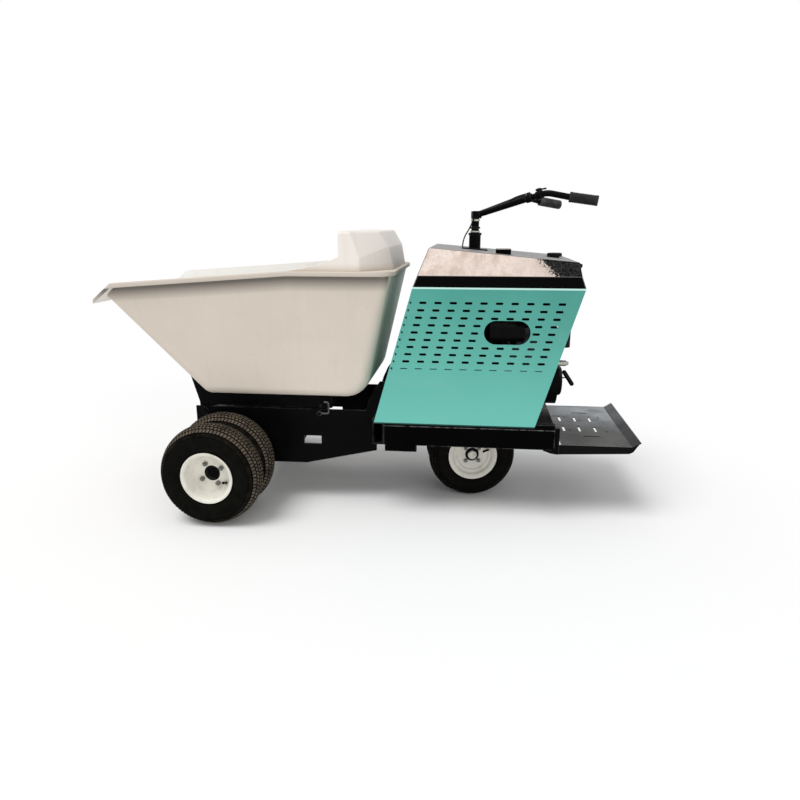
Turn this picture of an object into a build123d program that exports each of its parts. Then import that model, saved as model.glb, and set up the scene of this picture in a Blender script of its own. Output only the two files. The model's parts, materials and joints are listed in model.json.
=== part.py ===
from build123d import *
import math
import os

# Ride-on power buggy. Millimetres, +X to the back of the machine, +Z up, -Y the machine's left side.
# Every x below is measured from the front axle. The finished pieces are moved so that the origin
# lies on the ground under the middle of the machine.

# Wheels and axles
FRONT_TYRE_R = 225.0
FRONT_TYRE_W = 163.0
REAR_TYRE_R = 207.0
REAR_TYRE_W = 122.0
TYRE_WALL = 13.0
RIM_SEAT_R = 101.6
RIM_FLANGE_R = 116.0
RIM_WELL_R = 84.0
RIM_SHEET = 4.0
FRONT_RIM_HALF = 72.0
REAR_RIM_HALF = 54.0
FRONT_OUTER_Y = 532.0
DUAL_PITCH = 173.0
LUG_CIRCLE_R = 50.8
LUG_COUNT = 4
LUG_R = 6.0
LUG_TURN = 31.0
HUB_BORE_R = 35.5
DISC_T = 5.0
REAR_WHEEL_Y = 88.0
REAR_AXLE_R = 12.5
REAR_CAP_R = 21.5
REAR_CAP_Y = 40.0
REAR_BORE_END = 26.0
REAR_HUB_R = 24.0
REAR_DISC_HOLE_R = 33.0
REAR_LUG_CIRCLE_R = 43.0
REAR_DISC_Y = (19.0, 24.0)
REAR_DISH = ((76.0, 16.0), (70.0, 24.0))
REAR_DISH_BACK = ((66.0, 19.0), (72.0, 10.0))
REAR_DISH_FOOT_Y = (4.0, 10.0)
REAR_HUB_Y = (-48.0, 30.0)
REAR_HUB_FLANGE_Y = 11.0
REAR_NUT_R = 9.5
REAR_NUT_H = 13.0
REAR_STUD_L = 18.0
STEER_REST = 8.0

# Clearances
RUN_CLEAR = 0.05
SEAT_CLEAR = 0.1
SIDE_CLEAR = 0.3

# Main frame
SIDE_Y = 260.0
PLATE_T = 10.0
FRAME_TOP_Z = 452.0
FRAME_FRONT_X = -170.0
BELLY_Z = 188.0
BELLY_X = 355.0
BELLY_END_Z = 262.0
TRANSOM_X = 690.0
TRANSOM_DEPTH = 50.0
TRANSOM_WALL = 6.0
RAIL_Y = 384.0
RAIL_FLANGE = 30.0
RAIL_T = 6.0
RAIL_LOW_Z = 334.0
RAIL_H = 112.0
DECK_T = 6.0
DECK_END_X = 1475.0
RAIL_END_X = DECK_END_X + 8.0
REAR_BAR_DEPTH = 35.0
REAR_BAR_H = 66.0
PIN_PLATE_TOP_Z = 424.0
MOTOR_HOLE_R = 45.0
TIE_HOLE_R = 10.0
TIE_X = -148.0
TIE_Z = 384.0
WINDOW_X = (347.0, 429.0)
WINDOW_Z = (283.0, 323.0)
NOSE_LOW_Z = 362.0
SKIRT_HALF_X = 128.0
SKIRT_TOP_Z = 330.0
SKIRT_FOOT_Z = 150.0
BELLY_START_X = 200.0
GUSSET_EDGE = ((706.0, 590.0), (678.0, 548.0), (656.0, 500.0), (640.0, 452.0))
FRONT_TUBE_X = (-166.0, -66.0)
FRONT_TUBE_Z = (362.0, 398.5)
FRONT_TUBE_WALL = 4.0
MID_TUBE_X = (560.0, 640.0)
MID_TUBE_Z = (280.0, 340.0)

# Tub and cradle
PIVOT_X = -125.0
PIVOT_Z = 430.0
PIVOT_R = 12.5
TUB_WALL = 9.0
TUB_FLOOR_Z = 516.0
TUB_FLOOR_HALF = 285.0
TUB_TOP_HALF = 396.0
TUB_FRONT_FOOT_X = -108.0
LIP_WALL_X = -485.0
LIP_WALL_Z = 950.0
TUB_REAR_FOOT_X = 645.0
TUB_REAR_TOP_X = 772.0
LIP_X = -530.0
LIP_Z = 965.0
RIM_CORNER_X = -448.0
RIM_CORNER_Z = 1033.0
RIM_KINK_X = 330.0
RIM_Z = 1090.0
RIM_REAR_X = 788.0
RIM_OVERHANG = 24.0
RIM_H = 20.0
RIM_REAR_ROUND = 110.0
RIM_EDGE_R = 6.0
HOOD_EDGE_R = 14.0
FLOOR_FRONT_ROUND = 60.0
FLOOR_REAR_ROUND = 125.0
TUB_CORNER_R = 48.0
HOOD_FRONT_X = 555.0
HOOD_TOP_Z = 1253.0
HOOD_TOP_REAR_X = 710.0
HOOD_SHOULDER_X = 752.0
HOOD_SHOULDER_Z = 1184.0
WING_START_X = 330.0
WING_END_Z = 1150.0
FACET_TOP_X = 602.0
FACET_LOW_X = 642.0
FACET_LOW_Z = 1144.0
FACET_REAR_X = 742.0
FACET_IN = 123.0
CRADLE_HALF = 247.0
CRADLE_LOW_Z = 456.0
CRADLE_CHANNEL_W = 40.0
CRADLE_END_X = 480.0
EAR_T = 15.0
EAR_R = 30.0

# Engine bay
PANEL_T = 3.0
PANEL_LOW_Z = 431.0
PANEL_TOP_Z = 1028.0
PANEL_FRONT_LOW_X = 695.0
PANEL_FRONT_TOP_X = 865.0
PANEL_REAR_LOW_X = 1394.0
PANEL_REAR_TOP_X = 1572.0
PANEL_RETURN = 18.0
LINING_T = 8.0
LINING_GAP = 12.0
SCREEN_T = 2.5
SCREEN_LOW_Z = 620.0
SLOT_L = 31.0
SLOT_H = 10.5
SLOT_PITCH_X = 63.4
SLOT_LAST_H = 4.0
SLOT_WEB = 1.5
SLOT_PITCH_Z = 31.3
SLOT_ROWS = 10
SLOT_COLUMNS = 10
SLOT_FIRST_X = 909.0
SLOT_FIRST_Z = 963.5
OVAL_X = 1262.0
OVAL_Z = 843.0
OVAL_L = 192.0
OVAL_H = 100.0
COWL_T = 3.0
COWL_FOLD_R = 6.0
COWL_FOLD_Z = 1075.0
COWL_FRONT_FOLD_X = 884.0
COWL_TOP_FRONT_X = 926.0
COWL_TOP_FRONT_Z = 1185.0
COWL_TOP_REAR_X = 1546.0
COWL_TOP_REAR_Z = 1130.0
COWL_REAR_FOLD_X = 1554.0
COWL_SIDE_LEAN = 0.8

# Steering
COLUMN_X = 1117.0
SHAFT_R = 17.0
SHAFT_TOP_R = 17.5
SHAFT_FLANGE_R = 23.0
SLEEVE_R = 26.5
SLEEVE_RISE = 74.0
HEAD_RISE = 80.0
LEG_X = 90.0
LEG_Y = 40.0
BEARING_R = 38.0
BEARING_LOW_Z = 436.0
BEARING_TOP_Z = 560.0
BAR_R = 13.0
BAR_ROOT = (10.0, 15.0, 0.0)
BAR_BEND = (264.0, 239.0, 86.0)
BAR_GRIP = (345.0, 266.0, 69.0)
BAR_END = (457.0, 300.0, 52.0)
GRIP_R = 21.5
GRIP_L = 114.0
CABLE_R = 3.0
CABLE_GAP = 1.4
CABLE_FOOT = 56.0
CABLE_FOOT_RISE = 7.0
CABLE_VIA = ((-53.0, -3.0, -104.0), (-24.0, -18.0, -60.0))
CABLE_ENTRY = (-11.0, -24.0)
CABLE_EXIT_SHARE = 0.48
CABLE_CREST_SHARE = 0.62
CABLE_CREST_RISE = 26.0
HEAD_DROP = 16.0

# Platform
PLATFORM_HALF = 333.0
PLATFORM_TOP_Z = 343.0
FOLD_PIN_X = DECK_END_X + 17.0
FOLD_PIN_Z = 320.0
FOLD_PIN_R = 8.0
PLATFORM_FRONT_X = FOLD_PIN_X + 29.0
PLATFORM_FOLD_X = PLATFORM_FRONT_X + 301.0
PLATFORM_LIP_X = PLATFORM_FOLD_X + 36.0
PLATFORM_LIP_Z = 366.0
PLATFORM_LIP_EDGE = 2.5
PLATFORM_T = 5.0
SKIRT_LOW_Z = 299.0
SKIRT_REAR_Z = 312.0
SKIRT_FRONT_X = FOLD_PIN_X - 19.0
SIDE_CUT = (PLATFORM_FRONT_X + 150.0, 194.0)
CROSS_CUT_X = (PLATFORM_FRONT_X + 40.0, PLATFORM_FRONT_X + 113.0, PLATFORM_FRONT_X + 186.0)
CROSS_CUT_Y = 82.0
CUT_L = 78.0
CUT_W = 11.0
BOLT_HOLE_X = (PLATFORM_FRONT_X + 67.0, PLATFORM_FRONT_X + 233.0)
BOLT_HOLE_Y = 114.0
BOLT_HOLE_R = 6.0

# Engine and drive
CRANK_Y = -110.0
CRANK_Z = 582.0
ENGINE_X = (1240.0, 1430.0)
ENGINE_HALF = 105.0
ENGINE_TOP_Z = 660.0
RECOIL_R = 106.0
RECOIL_DEPTH = 100.0
RECOIL_CUP_R = 68.0
RECOIL_CUP_DEPTH = 25.0
RECOIL_CUP_ROUND = 14.0
GRIP_BAR_R = 10.0
ROPE_R = 3.0
MOTOR_R = 60.0
MOTOR_L = 120.0
MOTOR_FLANGE_HALF = 70.0
MOTOR_FLANGE_T = 16.0
CASE_ROUND = 25.0
CYLINDER_SIZE = (110.0, 100.0, 140.0)
FIN_SIZE = (150.0, 136.0, 6.0)
FIN_FIRST = 36.0
FIN_PITCH = 16.0
FIN_COUNT = 6
HEAD_SIZE = (130.0, 120.0, 30.0)
HEAD_MIDDLE = 150.0
FUEL_TANK_X = (1380.0, 1520.0)
FUEL_TANK_Y = -130.0
FUEL_TANK_LOW_Z = 940.0
FUEL_TANK_ROUND = 14.0
MUFFLER_X = (1190.0, 1336.0)
MUFFLER_Y = (-372.0, -268.0)
MUFFLER_Z = (800.0, 884.0)
MUFFLER_ROUND = 30.0
PIPE_X = 1300.0
PIPE_ROUTE = ((-120.0, 770.0), (-200.0, 770.0), (-240.0, 842.0), (-275.0, 842.0))
PIPE_R = 15.0
PIPE_BEND_R = 25.0
CLEANER_X = (1412.0, 1554.0)
CLEANER_Z = (748.0, 820.0)
CLEANER_REACH = (-70.0, 60.0)
CLEANER_ROUND = 25.0
STALK_X = (1445.0, 1480.0)
STALK_HALF = 20.0
STALK_LOW_Z = 670.0
PUMP_X = 1010.0
PUMP_R = 50.0
BELL_X = 1190.0
BELL_R = 68.0
PUMP_FOOT_X = (1130.0, 1180.0)
PUMP_FOOT_HALF = 40.0
OIL_TANK_X = (840.0, 1030.0)
OIL_TANK_Y = (100.0, 365.0)
OIL_TANK_TOP_Z = 760.0
OIL_TANK_ROUND = 20.0
OIL_CAP_X = 920.0
OIL_CAP_Y = 230.0
OIL_CAP_R = 28.0
OIL_CAP_H = 25.0
TAP_PLACE = (30.0, 88.0)
PORT_R = 11.0
PORT_RISE = 18.0
PUMP_PORTS = ((-25.0, -20.0), (25.0, 5.0))
MOTOR_PORT = (30.0, 185.0)

# Derived places
FRAME_DECK_Z = RAIL_LOW_Z + RAIL_H
DECK_TOP_Z = FRAME_DECK_Z + DECK_T
PANEL_Y = RAIL_Y + PANEL_T
RECOIL_REAR_X = ENGINE_X[1] + RECOIL_DEPTH
RIM_HALF = TUB_TOP_HALF + RIM_OVERHANG
COWL_FALL = (COWL_TOP_FRONT_Z - COWL_TOP_REAR_Z) / (COWL_TOP_REAR_X - COWL_TOP_FRONT_X)
SLEEVE_TOP_Z = COWL_TOP_FRONT_Z - COWL_FALL * (COLUMN_X - COWL_TOP_FRONT_X) + SLEEVE_RISE
HEAD_Z = SLEEVE_TOP_Z + HEAD_RISE
MID_X = (LIP_X + PLATFORM_LIP_X + PLATFORM_LIP_EDGE) / 2
SIDES = {"left": -1, "right": 1}


def box(x0, x1, y0, y1, z0, z1):
    """Block between two corners."""
    middle = Pos((x0 + x1) / 2, (y0 + y1) / 2, (z0 + z1) / 2)
    return middle * Box(abs(x1 - x0), abs(y1 - y0), abs(z1 - z0))


def polygon(points):
    """Flat face with the given corners."""
    return make_face(Polyline(*points, close=True))


def side_prism(face, y0, y1):
    """Side-view face, drawn in x and z, extruded across the machine from y0 to y1."""
    return extrude(Plane.XZ.offset(-y1) * face, amount=y1 - y0)


def cross_prism(face, x0, x1):
    """Face drawn in y and z, extruded along the machine from x0 to x1."""
    return extrude(Plane.YZ.offset(x0) * face, amount=x1 - x0)


def rod(start, end, radius):
    """Round bar between two points."""
    line = Line(start, end)
    return extrude(Plane(start, z_dir=line % 0) * Circle(radius), amount=line.length)


def ring(start, end, outer, inner):
    """Round tube between two points."""
    line = Line(start, end)
    face = Circle(outer) - Circle(inner)
    return extrude(Plane(start, z_dir=line % 0) * face, amount=line.length)


def bent_tube(points, radius, bends):
    """Round bar along straight runs joined by tangent arcs."""
    path = FilletPolyline(*points, radius=bends)
    return sweep(Plane(path @ 0, z_dir=path % 0) * Circle(radius), path)


def cord(points, radius):
    """Round bar along a cord's route, each arc as large as its two runs allow."""
    route = [Vector(point) for point in points]
    bends = []
    for before, corner, after in zip(route, route[1:], route[2:]):
        first, second = corner - before, after - corner
        half_turn = math.radians(first.get_angle(second) / 2)
        bends.append(0.45 * min(first.length, second.length) / math.tan(half_turn))
    print("cord arcs", [round(bend) for bend in bends])
    return bent_tube(route, radius, bends)


def spun(face, x, y, z, side=1):
    """Face drawn as radius and outward offset, turned about a lateral axle line."""
    turned = revolve(face, Axis.Y)
    if side < 0:
        turned = mirror(turned, Plane.XZ)
    return Pos(x, y, z) * turned


def steered(shape):
    """Turns a piece of the steering about the column to its stored place."""
    return shape.rotate(Axis((COLUMN_X, 0, 0), (0, 0, 1)), STEER_REST)


def below(solid, point, normal):
    """Keeps the part of a solid on the inner side of a plane."""
    return split(solid, bisect_by=Plane(point, z_dir=normal), keep=Keep.BOTTOM)


def write(name, *shapes):
    """One file per piece, moved to the machine's origin."""
    moved = [Pos(-MID_X, 0, 0) * shape for shape in shapes]
    whole = moved[0] if len(moved) == 1 else Compound(children=list(moved))
    export_step(whole, f"parts/{name}.step")


# Tub

def tub_side_face():
    """Side view of the tub's outer walls, running up past the rim."""
    front_slope = (LIP_WALL_X - TUB_FRONT_FOOT_X) / (LIP_WALL_Z - TUB_FLOOR_Z)
    rear_slope = (TUB_REAR_TOP_X - TUB_REAR_FOOT_X) / (RIM_Z - TUB_FLOOR_Z)
    top_z = HOOD_TOP_Z + 150.0
    rise = top_z - TUB_FLOOR_Z
    face = polygon([
        (TUB_FRONT_FOOT_X, TUB_FLOOR_Z),
        (TUB_REAR_FOOT_X, TUB_FLOOR_Z),
        (TUB_REAR_FOOT_X + rear_slope * rise, top_z),
        (TUB_FRONT_FOOT_X + front_slope * rise, top_z),
    ])
    low = face.vertices().group_by(Axis.Y)[0].sort_by(Axis.X)
    face = fillet(low[0], FLOOR_FRONT_ROUND)
    low = face.vertices().filter_by(lambda v: v.X > TUB_FRONT_FOOT_X + 200 and v.Y < TUB_FLOOR_Z + 5)
    return fillet(low.sort_by(Axis.X)[-1], FLOOR_REAR_ROUND)


def tub_cross_face(inset):
    """View along the machine of the tub's sloping side walls."""
    top_z = HOOD_TOP_Z + 160.0
    floor_half = TUB_FLOOR_HALF - inset
    top_half = TUB_TOP_HALF - inset
    low_z = TUB_FLOOR_Z - 40.0
    lean = (top_half - floor_half) / (RIM_Z - TUB_FLOOR_Z)
    low_half = floor_half - 40.0 * lean
    return polygon([
        (-low_half, low_z), (low_half, low_z), (top_half, RIM_Z), (top_half, top_z),
        (-top_half, top_z), (-top_half, RIM_Z),
    ])


def tub_block(inset):
    """Solid filling the tub's walls, smaller all round by the inset."""
    side = tub_side_face()
    if inset > 0:
        side = offset(side, amount=-inset, kind=Kind.INTERSECTION)
    across = 2 * TUB_TOP_HALF
    block = side_prism(side, -across, across) & cross_prism(tub_cross_face(inset), -1500, 1500)
    walls = block.faces().filter_by(lambda f: abs(f.normal_at().Y) > 0.9)
    lower = [f for f in walls if f.center().Z < RIM_Z]
    edges = ShapeList()
    for wall in lower:
        for edge in wall.edges():
            if edge.center().Z < RIM_Z - 20:
                edges.append(edge)
    return fillet(edges, TUB_CORNER_R - inset)


def on_rim_edge(edge):
    """True for the band's long outer edges, along its sides and round its rear corners."""
    middle = edge.center()
    upright = edge.bounding_box().size.X < 1 and edge.bounding_box().size.Y < 1
    return not upright and (abs(middle.Y) > RIM_HALF - RIM_REAR_ROUND or middle.X > RIM_REAR_X - 1)


def rim_band():
    """Rim flange as a band across the machine, following the rim's side view."""
    top = [(LIP_X, LIP_Z), (RIM_CORNER_X, RIM_CORNER_Z), (RIM_KINK_X, RIM_Z), (RIM_REAR_X, RIM_Z)]
    low = [(x, z - RIM_H) for x, z in reversed(top)]
    band = side_prism(polygon(top + low), -RIM_HALF, RIM_HALF)
    corners = band.edges().filter_by(Axis.Z).filter_by(lambda e: e.center().X > RIM_REAR_X - 1)
    band = fillet(corners, RIM_REAR_ROUND)
    return fillet(band.edges().filter_by(on_rim_edge), RIM_EDGE_R)


def above_rim():
    """Everything that stands over the rim line."""
    top_z = HOOD_TOP_Z + 300.0
    line = [
        (LIP_X - 600, LIP_Z - 497), (LIP_X, LIP_Z), (RIM_CORNER_X, RIM_CORNER_Z), (RIM_KINK_X, RIM_Z),
        (RIM_REAR_X + 300, RIM_Z),
    ]
    far = [(RIM_REAR_X + 300, top_z), (LIP_X - 600, top_z)]
    return side_prism(polygon(line + far), -2 * RIM_HALF, 2 * RIM_HALF)


def hood_block(inset, front_x):
    """Solid filling the splash hood, smaller all round by the inset."""
    half = TUB_TOP_HALF - inset
    solid = box(front_x, RIM_REAR_X, -half, half, RIM_Z - RIM_H, HOOD_TOP_Z - inset)
    slope = Vector(HOOD_SHOULDER_Z - HOOD_TOP_Z, 0, HOOD_TOP_REAR_X - HOOD_SHOULDER_X) * -1
    slope = slope.normalized()
    solid = below(solid, Vector(HOOD_TOP_REAR_X, 0, HOOD_TOP_Z) - slope * inset, slope)
    back = Vector(HOOD_SHOULDER_Z - RIM_Z, 0, TUB_REAR_TOP_X - HOOD_SHOULDER_X).normalized()
    solid = below(solid, Vector(HOOD_SHOULDER_X, 0, HOOD_SHOULDER_Z) - back * inset, back)
    for side in SIDES.values():
        crown = Vector(FACET_TOP_X, side * TUB_TOP_HALF, HOOD_TOP_Z)
        elbow = Vector(FACET_LOW_X, side * TUB_TOP_HALF, FACET_LOW_Z)
        corner = Vector(FACET_REAR_X, side * (TUB_TOP_HALF - FACET_IN), HOOD_SHOULDER_Z)
        facet = (elbow - crown).cross(corner - crown) * side
        facet = (facet * (-1 if facet.X < 0 else 1)).normalized()
        solid = below(solid, crown - facet * inset, facet)
        run = corner - elbow
        flank = Vector(abs(run.Y), side * abs(run.X), 0).normalized()
        solid = below(solid, elbow - flank * inset, flank)
    return solid


def wing(side):
    """Side wall that sweeps from the rim up to the hood's front edge."""
    curve = ThreePointArc(
        (WING_START_X, RIM_Z), ((WING_START_X + HOOD_FRONT_X) / 2, RIM_Z + 20.0), (HOOD_FRONT_X, WING_END_Z)
    )
    foot_z = RIM_Z - RIM_H
    foot = [(HOOD_FRONT_X, foot_z), (WING_START_X, foot_z)]
    base = Polyline((HOOD_FRONT_X, WING_END_Z), *foot, (WING_START_X, RIM_Z))
    face = make_face(curve + base)
    inner, outer = sorted((side * (TUB_TOP_HALF - TUB_WALL), side * TUB_TOP_HALF))
    return side_prism(face, inner, outer)


def tub():
    """Moulded tub: sloping walls, rim flange, wings and a hood that is open to the front."""
    outer = tub_block(0.0) - above_rim()
    hood = hood_block(0.0, HOOD_FRONT_X)
    soft = hood.edges().filter_by(lambda e: e.center().X > HOOD_FRONT_X + 1)
    hood = fillet(soft.filter_by(lambda e: e.center().Z > RIM_Z - RIM_H + 1), HOOD_EDGE_R)
    body = outer + rim_band() + hood + wing(-1) + wing(1)
    roof_keep = box(HOOD_FRONT_X, RIM_REAR_X + 400, -RIM_HALF, RIM_HALF, RIM_Z - 1, HOOD_TOP_Z + 400)
    cavity = tub_block(TUB_WALL) - roof_keep
    hollow = hood_block(TUB_WALL, HOOD_FRONT_X - 60)
    return body - cavity - hollow


def cradle_front_z(x):
    """Height of the tub's front wall over a place along the machine."""
    slope = (LIP_WALL_Z - TUB_FLOOR_Z) / (LIP_WALL_X - TUB_FRONT_FOOT_X)
    return TUB_FLOOR_Z + slope * (x - TUB_FRONT_FOOT_X)


def cradle():
    """Channel frame bolted under the tub, with a sloping front plate and two hinge ears."""
    start_x = TUB_FRONT_FOOT_X + 30.0
    inner = CRADLE_HALF - CRADLE_CHANNEL_W
    frame = box(start_x, CRADLE_END_X, -CRADLE_HALF, CRADLE_HALF, CRADLE_LOW_Z, TUB_FLOOR_Z)
    spans = ((start_x + 40, 120.0), (160.0, 300.0), (340.0, CRADLE_END_X - 40))
    for x0, x1 in spans:
        frame -= box(x0, x1, -inner, inner, CRADLE_LOW_Z - 1, TUB_FLOOR_Z + 1)
    plate_top_x = TUB_FRONT_FOOT_X - 75.0
    plate_x = TUB_FRONT_FOOT_X - 5.0
    plate = polygon([
        (plate_x, cradle_front_z(plate_x)), (plate_top_x, cradle_front_z(plate_top_x)),
        (plate_top_x - 7, cradle_front_z(plate_top_x) - 7), (PIVOT_X - EAR_R, PIVOT_Z + 40),
        (PIVOT_X + EAR_R, PIVOT_Z + 40), (start_x, CRADLE_LOW_Z), (start_x, TUB_FLOOR_Z),
        (TUB_FRONT_FOOT_X + FLOOR_FRONT_ROUND, TUB_FLOOR_Z),
    ])
    for side in SIDES.values():
        y0, y1 = sorted((side * CRADLE_HALF, side * (CRADLE_HALF - EAR_T)))
        frame += side_prism(plate, y0, y1)
        frame += box(PIVOT_X - EAR_R, PIVOT_X + EAR_R, y0, y1, PIVOT_Z, PIVOT_Z + 45)
        frame += rod((PIVOT_X, y0, PIVOT_Z), (PIVOT_X, y1, PIVOT_Z), EAR_R)
    strip = polygon([
        (plate_x, cradle_front_z(plate_x)), (plate_top_x, cradle_front_z(plate_top_x)),
        (plate_top_x - 7, cradle_front_z(plate_top_x) - 7), (plate_x - 7, cradle_front_z(plate_x) - 7),
    ])
    frame += side_prism(strip, -CRADLE_HALF, CRADLE_HALF)
    bore = rod((PIVOT_X, -CRADLE_HALF - 5, PIVOT_Z), (PIVOT_X, CRADLE_HALF + 5, PIVOT_Z), PIVOT_R + RUN_CLEAR)
    peg = rod((KEEPER_X, -CRADLE_HALF, KEEPER_Z), (KEEPER_X, -KEEPER_TIP_Y, KEEPER_Z), KEEPER_R)
    frame = frame - bore - tub_block(0.0) + peg
    for head in cradle_bolts():
        frame += head
    return frame


# Wire latch that holds the tub down on the left side plate
KEEPER_X = 434.0
KEEPER_Z = 474.0
KEEPER_R = 5.0
KEEPER_TIP_Y = 278.0
LATCH_WIRE_R = 4.5
LATCH_Y = 272.0
LATCH_PIN_X = 427.0
LATCH_PIN_Z = 436.0
LATCH_BACK_X = 470.0
LATCH_TOP_Z = 490.0
LATCH_NOSE_X = 448.0
LATCH_EYE_R = 11.0
LATCH_EYE_HALF = 6.0
LATCH_PIN_R = 5.0


def latch_hook():
    """Bent wire with an eye at its foot and a nose that swings over the keeper peg."""
    points = [
        (LATCH_PIN_X + LATCH_EYE_R - 2, -LATCH_Y, LATCH_PIN_Z), (LATCH_BACK_X, -LATCH_Y, LATCH_PIN_Z),
        (LATCH_BACK_X, -LATCH_Y, LATCH_TOP_Z), (LATCH_NOSE_X, -LATCH_Y, LATCH_TOP_Z),
    ]
    wire = bent_tube(points, LATCH_WIRE_R, 9.0)
    low = (LATCH_PIN_X, -LATCH_Y - LATCH_EYE_HALF, LATCH_PIN_Z)
    high = (LATCH_PIN_X, -LATCH_Y + LATCH_EYE_HALF, LATCH_PIN_Z)
    return wire + rod(low, high, LATCH_EYE_R) - rod(low, high, LATCH_PIN_R + RUN_CLEAR)


def latch_pin():
    """Shouldered pin on the side plate that carries the latch's eye."""
    inner_y = -SIDE_Y
    eye_y = -LATCH_Y + LATCH_EYE_HALF + SIDE_CLEAR
    tip_y = -LATCH_Y - LATCH_EYE_HALF - SIDE_CLEAR
    pin = rod((LATCH_PIN_X, inner_y, LATCH_PIN_Z), (LATCH_PIN_X, eye_y, LATCH_PIN_Z), LATCH_EYE_R - 1)
    pin += rod((LATCH_PIN_X, eye_y, LATCH_PIN_Z), (LATCH_PIN_X, tip_y, LATCH_PIN_Z), LATCH_PIN_R)
    return pin + rod((LATCH_PIN_X, tip_y, LATCH_PIN_Z), (LATCH_PIN_X, tip_y - 5, LATCH_PIN_Z), LATCH_EYE_R - 2)


def cradle_bolts():
    """Hexagon bolt heads on the cradle's front plate."""
    heads = []
    run = Vector(-75.0, 0, cradle_front_z(-75.0) - cradle_front_z(0.0)).normalized()
    across = Vector(-1, 0, -1).normalized()
    for y in (-205.0, -150.0, 150.0, 205.0):
        for share in (22.0, 62.0):
            foot_x = TUB_FRONT_FOOT_X - 5.0
            foot = Vector(foot_x - 6, y, cradle_front_z(foot_x) - 6) + run * share
            heads.append(extrude(Plane(foot, z_dir=across) * RegularPolygon(9.0, 6), amount=8.0))
    return heads


# Main frame

def side_plate(side):
    """Deep side plate: wheel motor hole, hinge shaft hole, window, tie-down hole and rear gusset."""
    lean = (PANEL_FRONT_TOP_X - PANEL_FRONT_LOW_X) / (PANEL_TOP_Z - PANEL_LOW_Z)
    face_x = PANEL_FRONT_LOW_X - 1.0
    gusset_top = GUSSET_EDGE[0][1]
    outline = polygon([
        (FRAME_FRONT_X, FRAME_TOP_Z), (FRAME_FRONT_X, NOSE_LOW_Z), (-SKIRT_HALF_X, SKIRT_TOP_Z),
        (-SKIRT_HALF_X, SKIRT_FOOT_Z), (SKIRT_HALF_X, SKIRT_FOOT_Z), (BELLY_START_X, BELLY_Z),
        (BELLY_X, BELLY_Z), (TRANSOM_X, BELLY_END_Z), (TRANSOM_X, DECK_TOP_Z),
        (face_x + lean * (DECK_TOP_Z - PANEL_LOW_Z), DECK_TOP_Z),
        (face_x + lean * (gusset_top - PANEL_LOW_Z), gusset_top), *GUSSET_EDGE,
    ])
    y0, y1 = sorted((side * SIDE_Y, side * (SIDE_Y - PLATE_T)))
    plate = side_prism(outline, y0, y1)
    z0, z1 = WINDOW_Z
    plate -= box(*WINDOW_X, y0 - 1, y1 + 1, z0, z1)
    for x, z, radius in (
        (0, FRONT_TYRE_R, MOTOR_HOLE_R), (TIE_X, TIE_Z, TIE_HOLE_R), (PIVOT_X, PIVOT_Z, PIVOT_R + RUN_CLEAR)
    ):
        plate -= rod((x, y0 - 1, z), (x, y1 + 1, z), radius)
    return plate + latch_pin() if side < 0 else plate


def cross_tube(x0, x1, z0, z1, half, wall):
    """Box tube across the machine."""
    core = box(x0 + wall, x1 - wall, -half - 1, half + 1, z0 + wall, z1 - wall)
    return box(x0, x1, -half, half, z0, z1) - core


def front_tube():
    """Flat tube between the noses of the side plates, below the tub's hinge."""
    return cross_tube(*FRONT_TUBE_X, *FRONT_TUBE_Z, SIDE_Y - PLATE_T, FRONT_TUBE_WALL)


def transom():
    """Box tube joining the side plates to the wider rear rails."""
    return cross_tube(TRANSOM_X, TRANSOM_X + TRANSOM_DEPTH, RAIL_LOW_Z, FRAME_DECK_Z, RAIL_Y, TRANSOM_WALL)


def rear_rail(side):
    """Channel rail under the engine bay, open to the inside."""
    start_x = TRANSOM_X + TRANSOM_DEPTH
    y0, y1 = sorted((side * RAIL_Y, side * (RAIL_Y - RAIL_FLANGE)))
    rail = box(start_x, RAIL_END_X, y0, y1, RAIL_LOW_Z, FRAME_DECK_Z)
    shift = -side * RAIL_T
    core = box(start_x - 1, RAIL_END_X + 1, y0 + shift, y1 + shift, RAIL_LOW_Z + RAIL_T, FRAME_DECK_Z - RAIL_T)
    foot = box(start_x + 5, start_x + 145, y0, y1, RAIL_LOW_Z - 30, RAIL_LOW_Z)
    return rail - core + foot


def deck():
    """Engine deck with a hole for the steering bearing and notches for the side plates."""
    plate = box(TRANSOM_X, DECK_END_X, -RAIL_Y, RAIL_Y, FRAME_DECK_Z, DECK_TOP_Z)
    for side in SIDES.values():
        y0, y1 = sorted((side * (SIDE_Y + 1), side * (SIDE_Y - PLATE_T - 1)))
        plate -= box(TRANSOM_X - 1, TRANSOM_X + TRANSOM_DEPTH + 5, y0, y1, FRAME_DECK_Z - 1, DECK_TOP_Z + 1)
    hole = rod((COLUMN_X, 0, FRAME_DECK_Z - 1), (COLUMN_X, 0, DECK_TOP_Z + 1), BEARING_R + SEAT_CLEAR)
    return plate - hole


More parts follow.
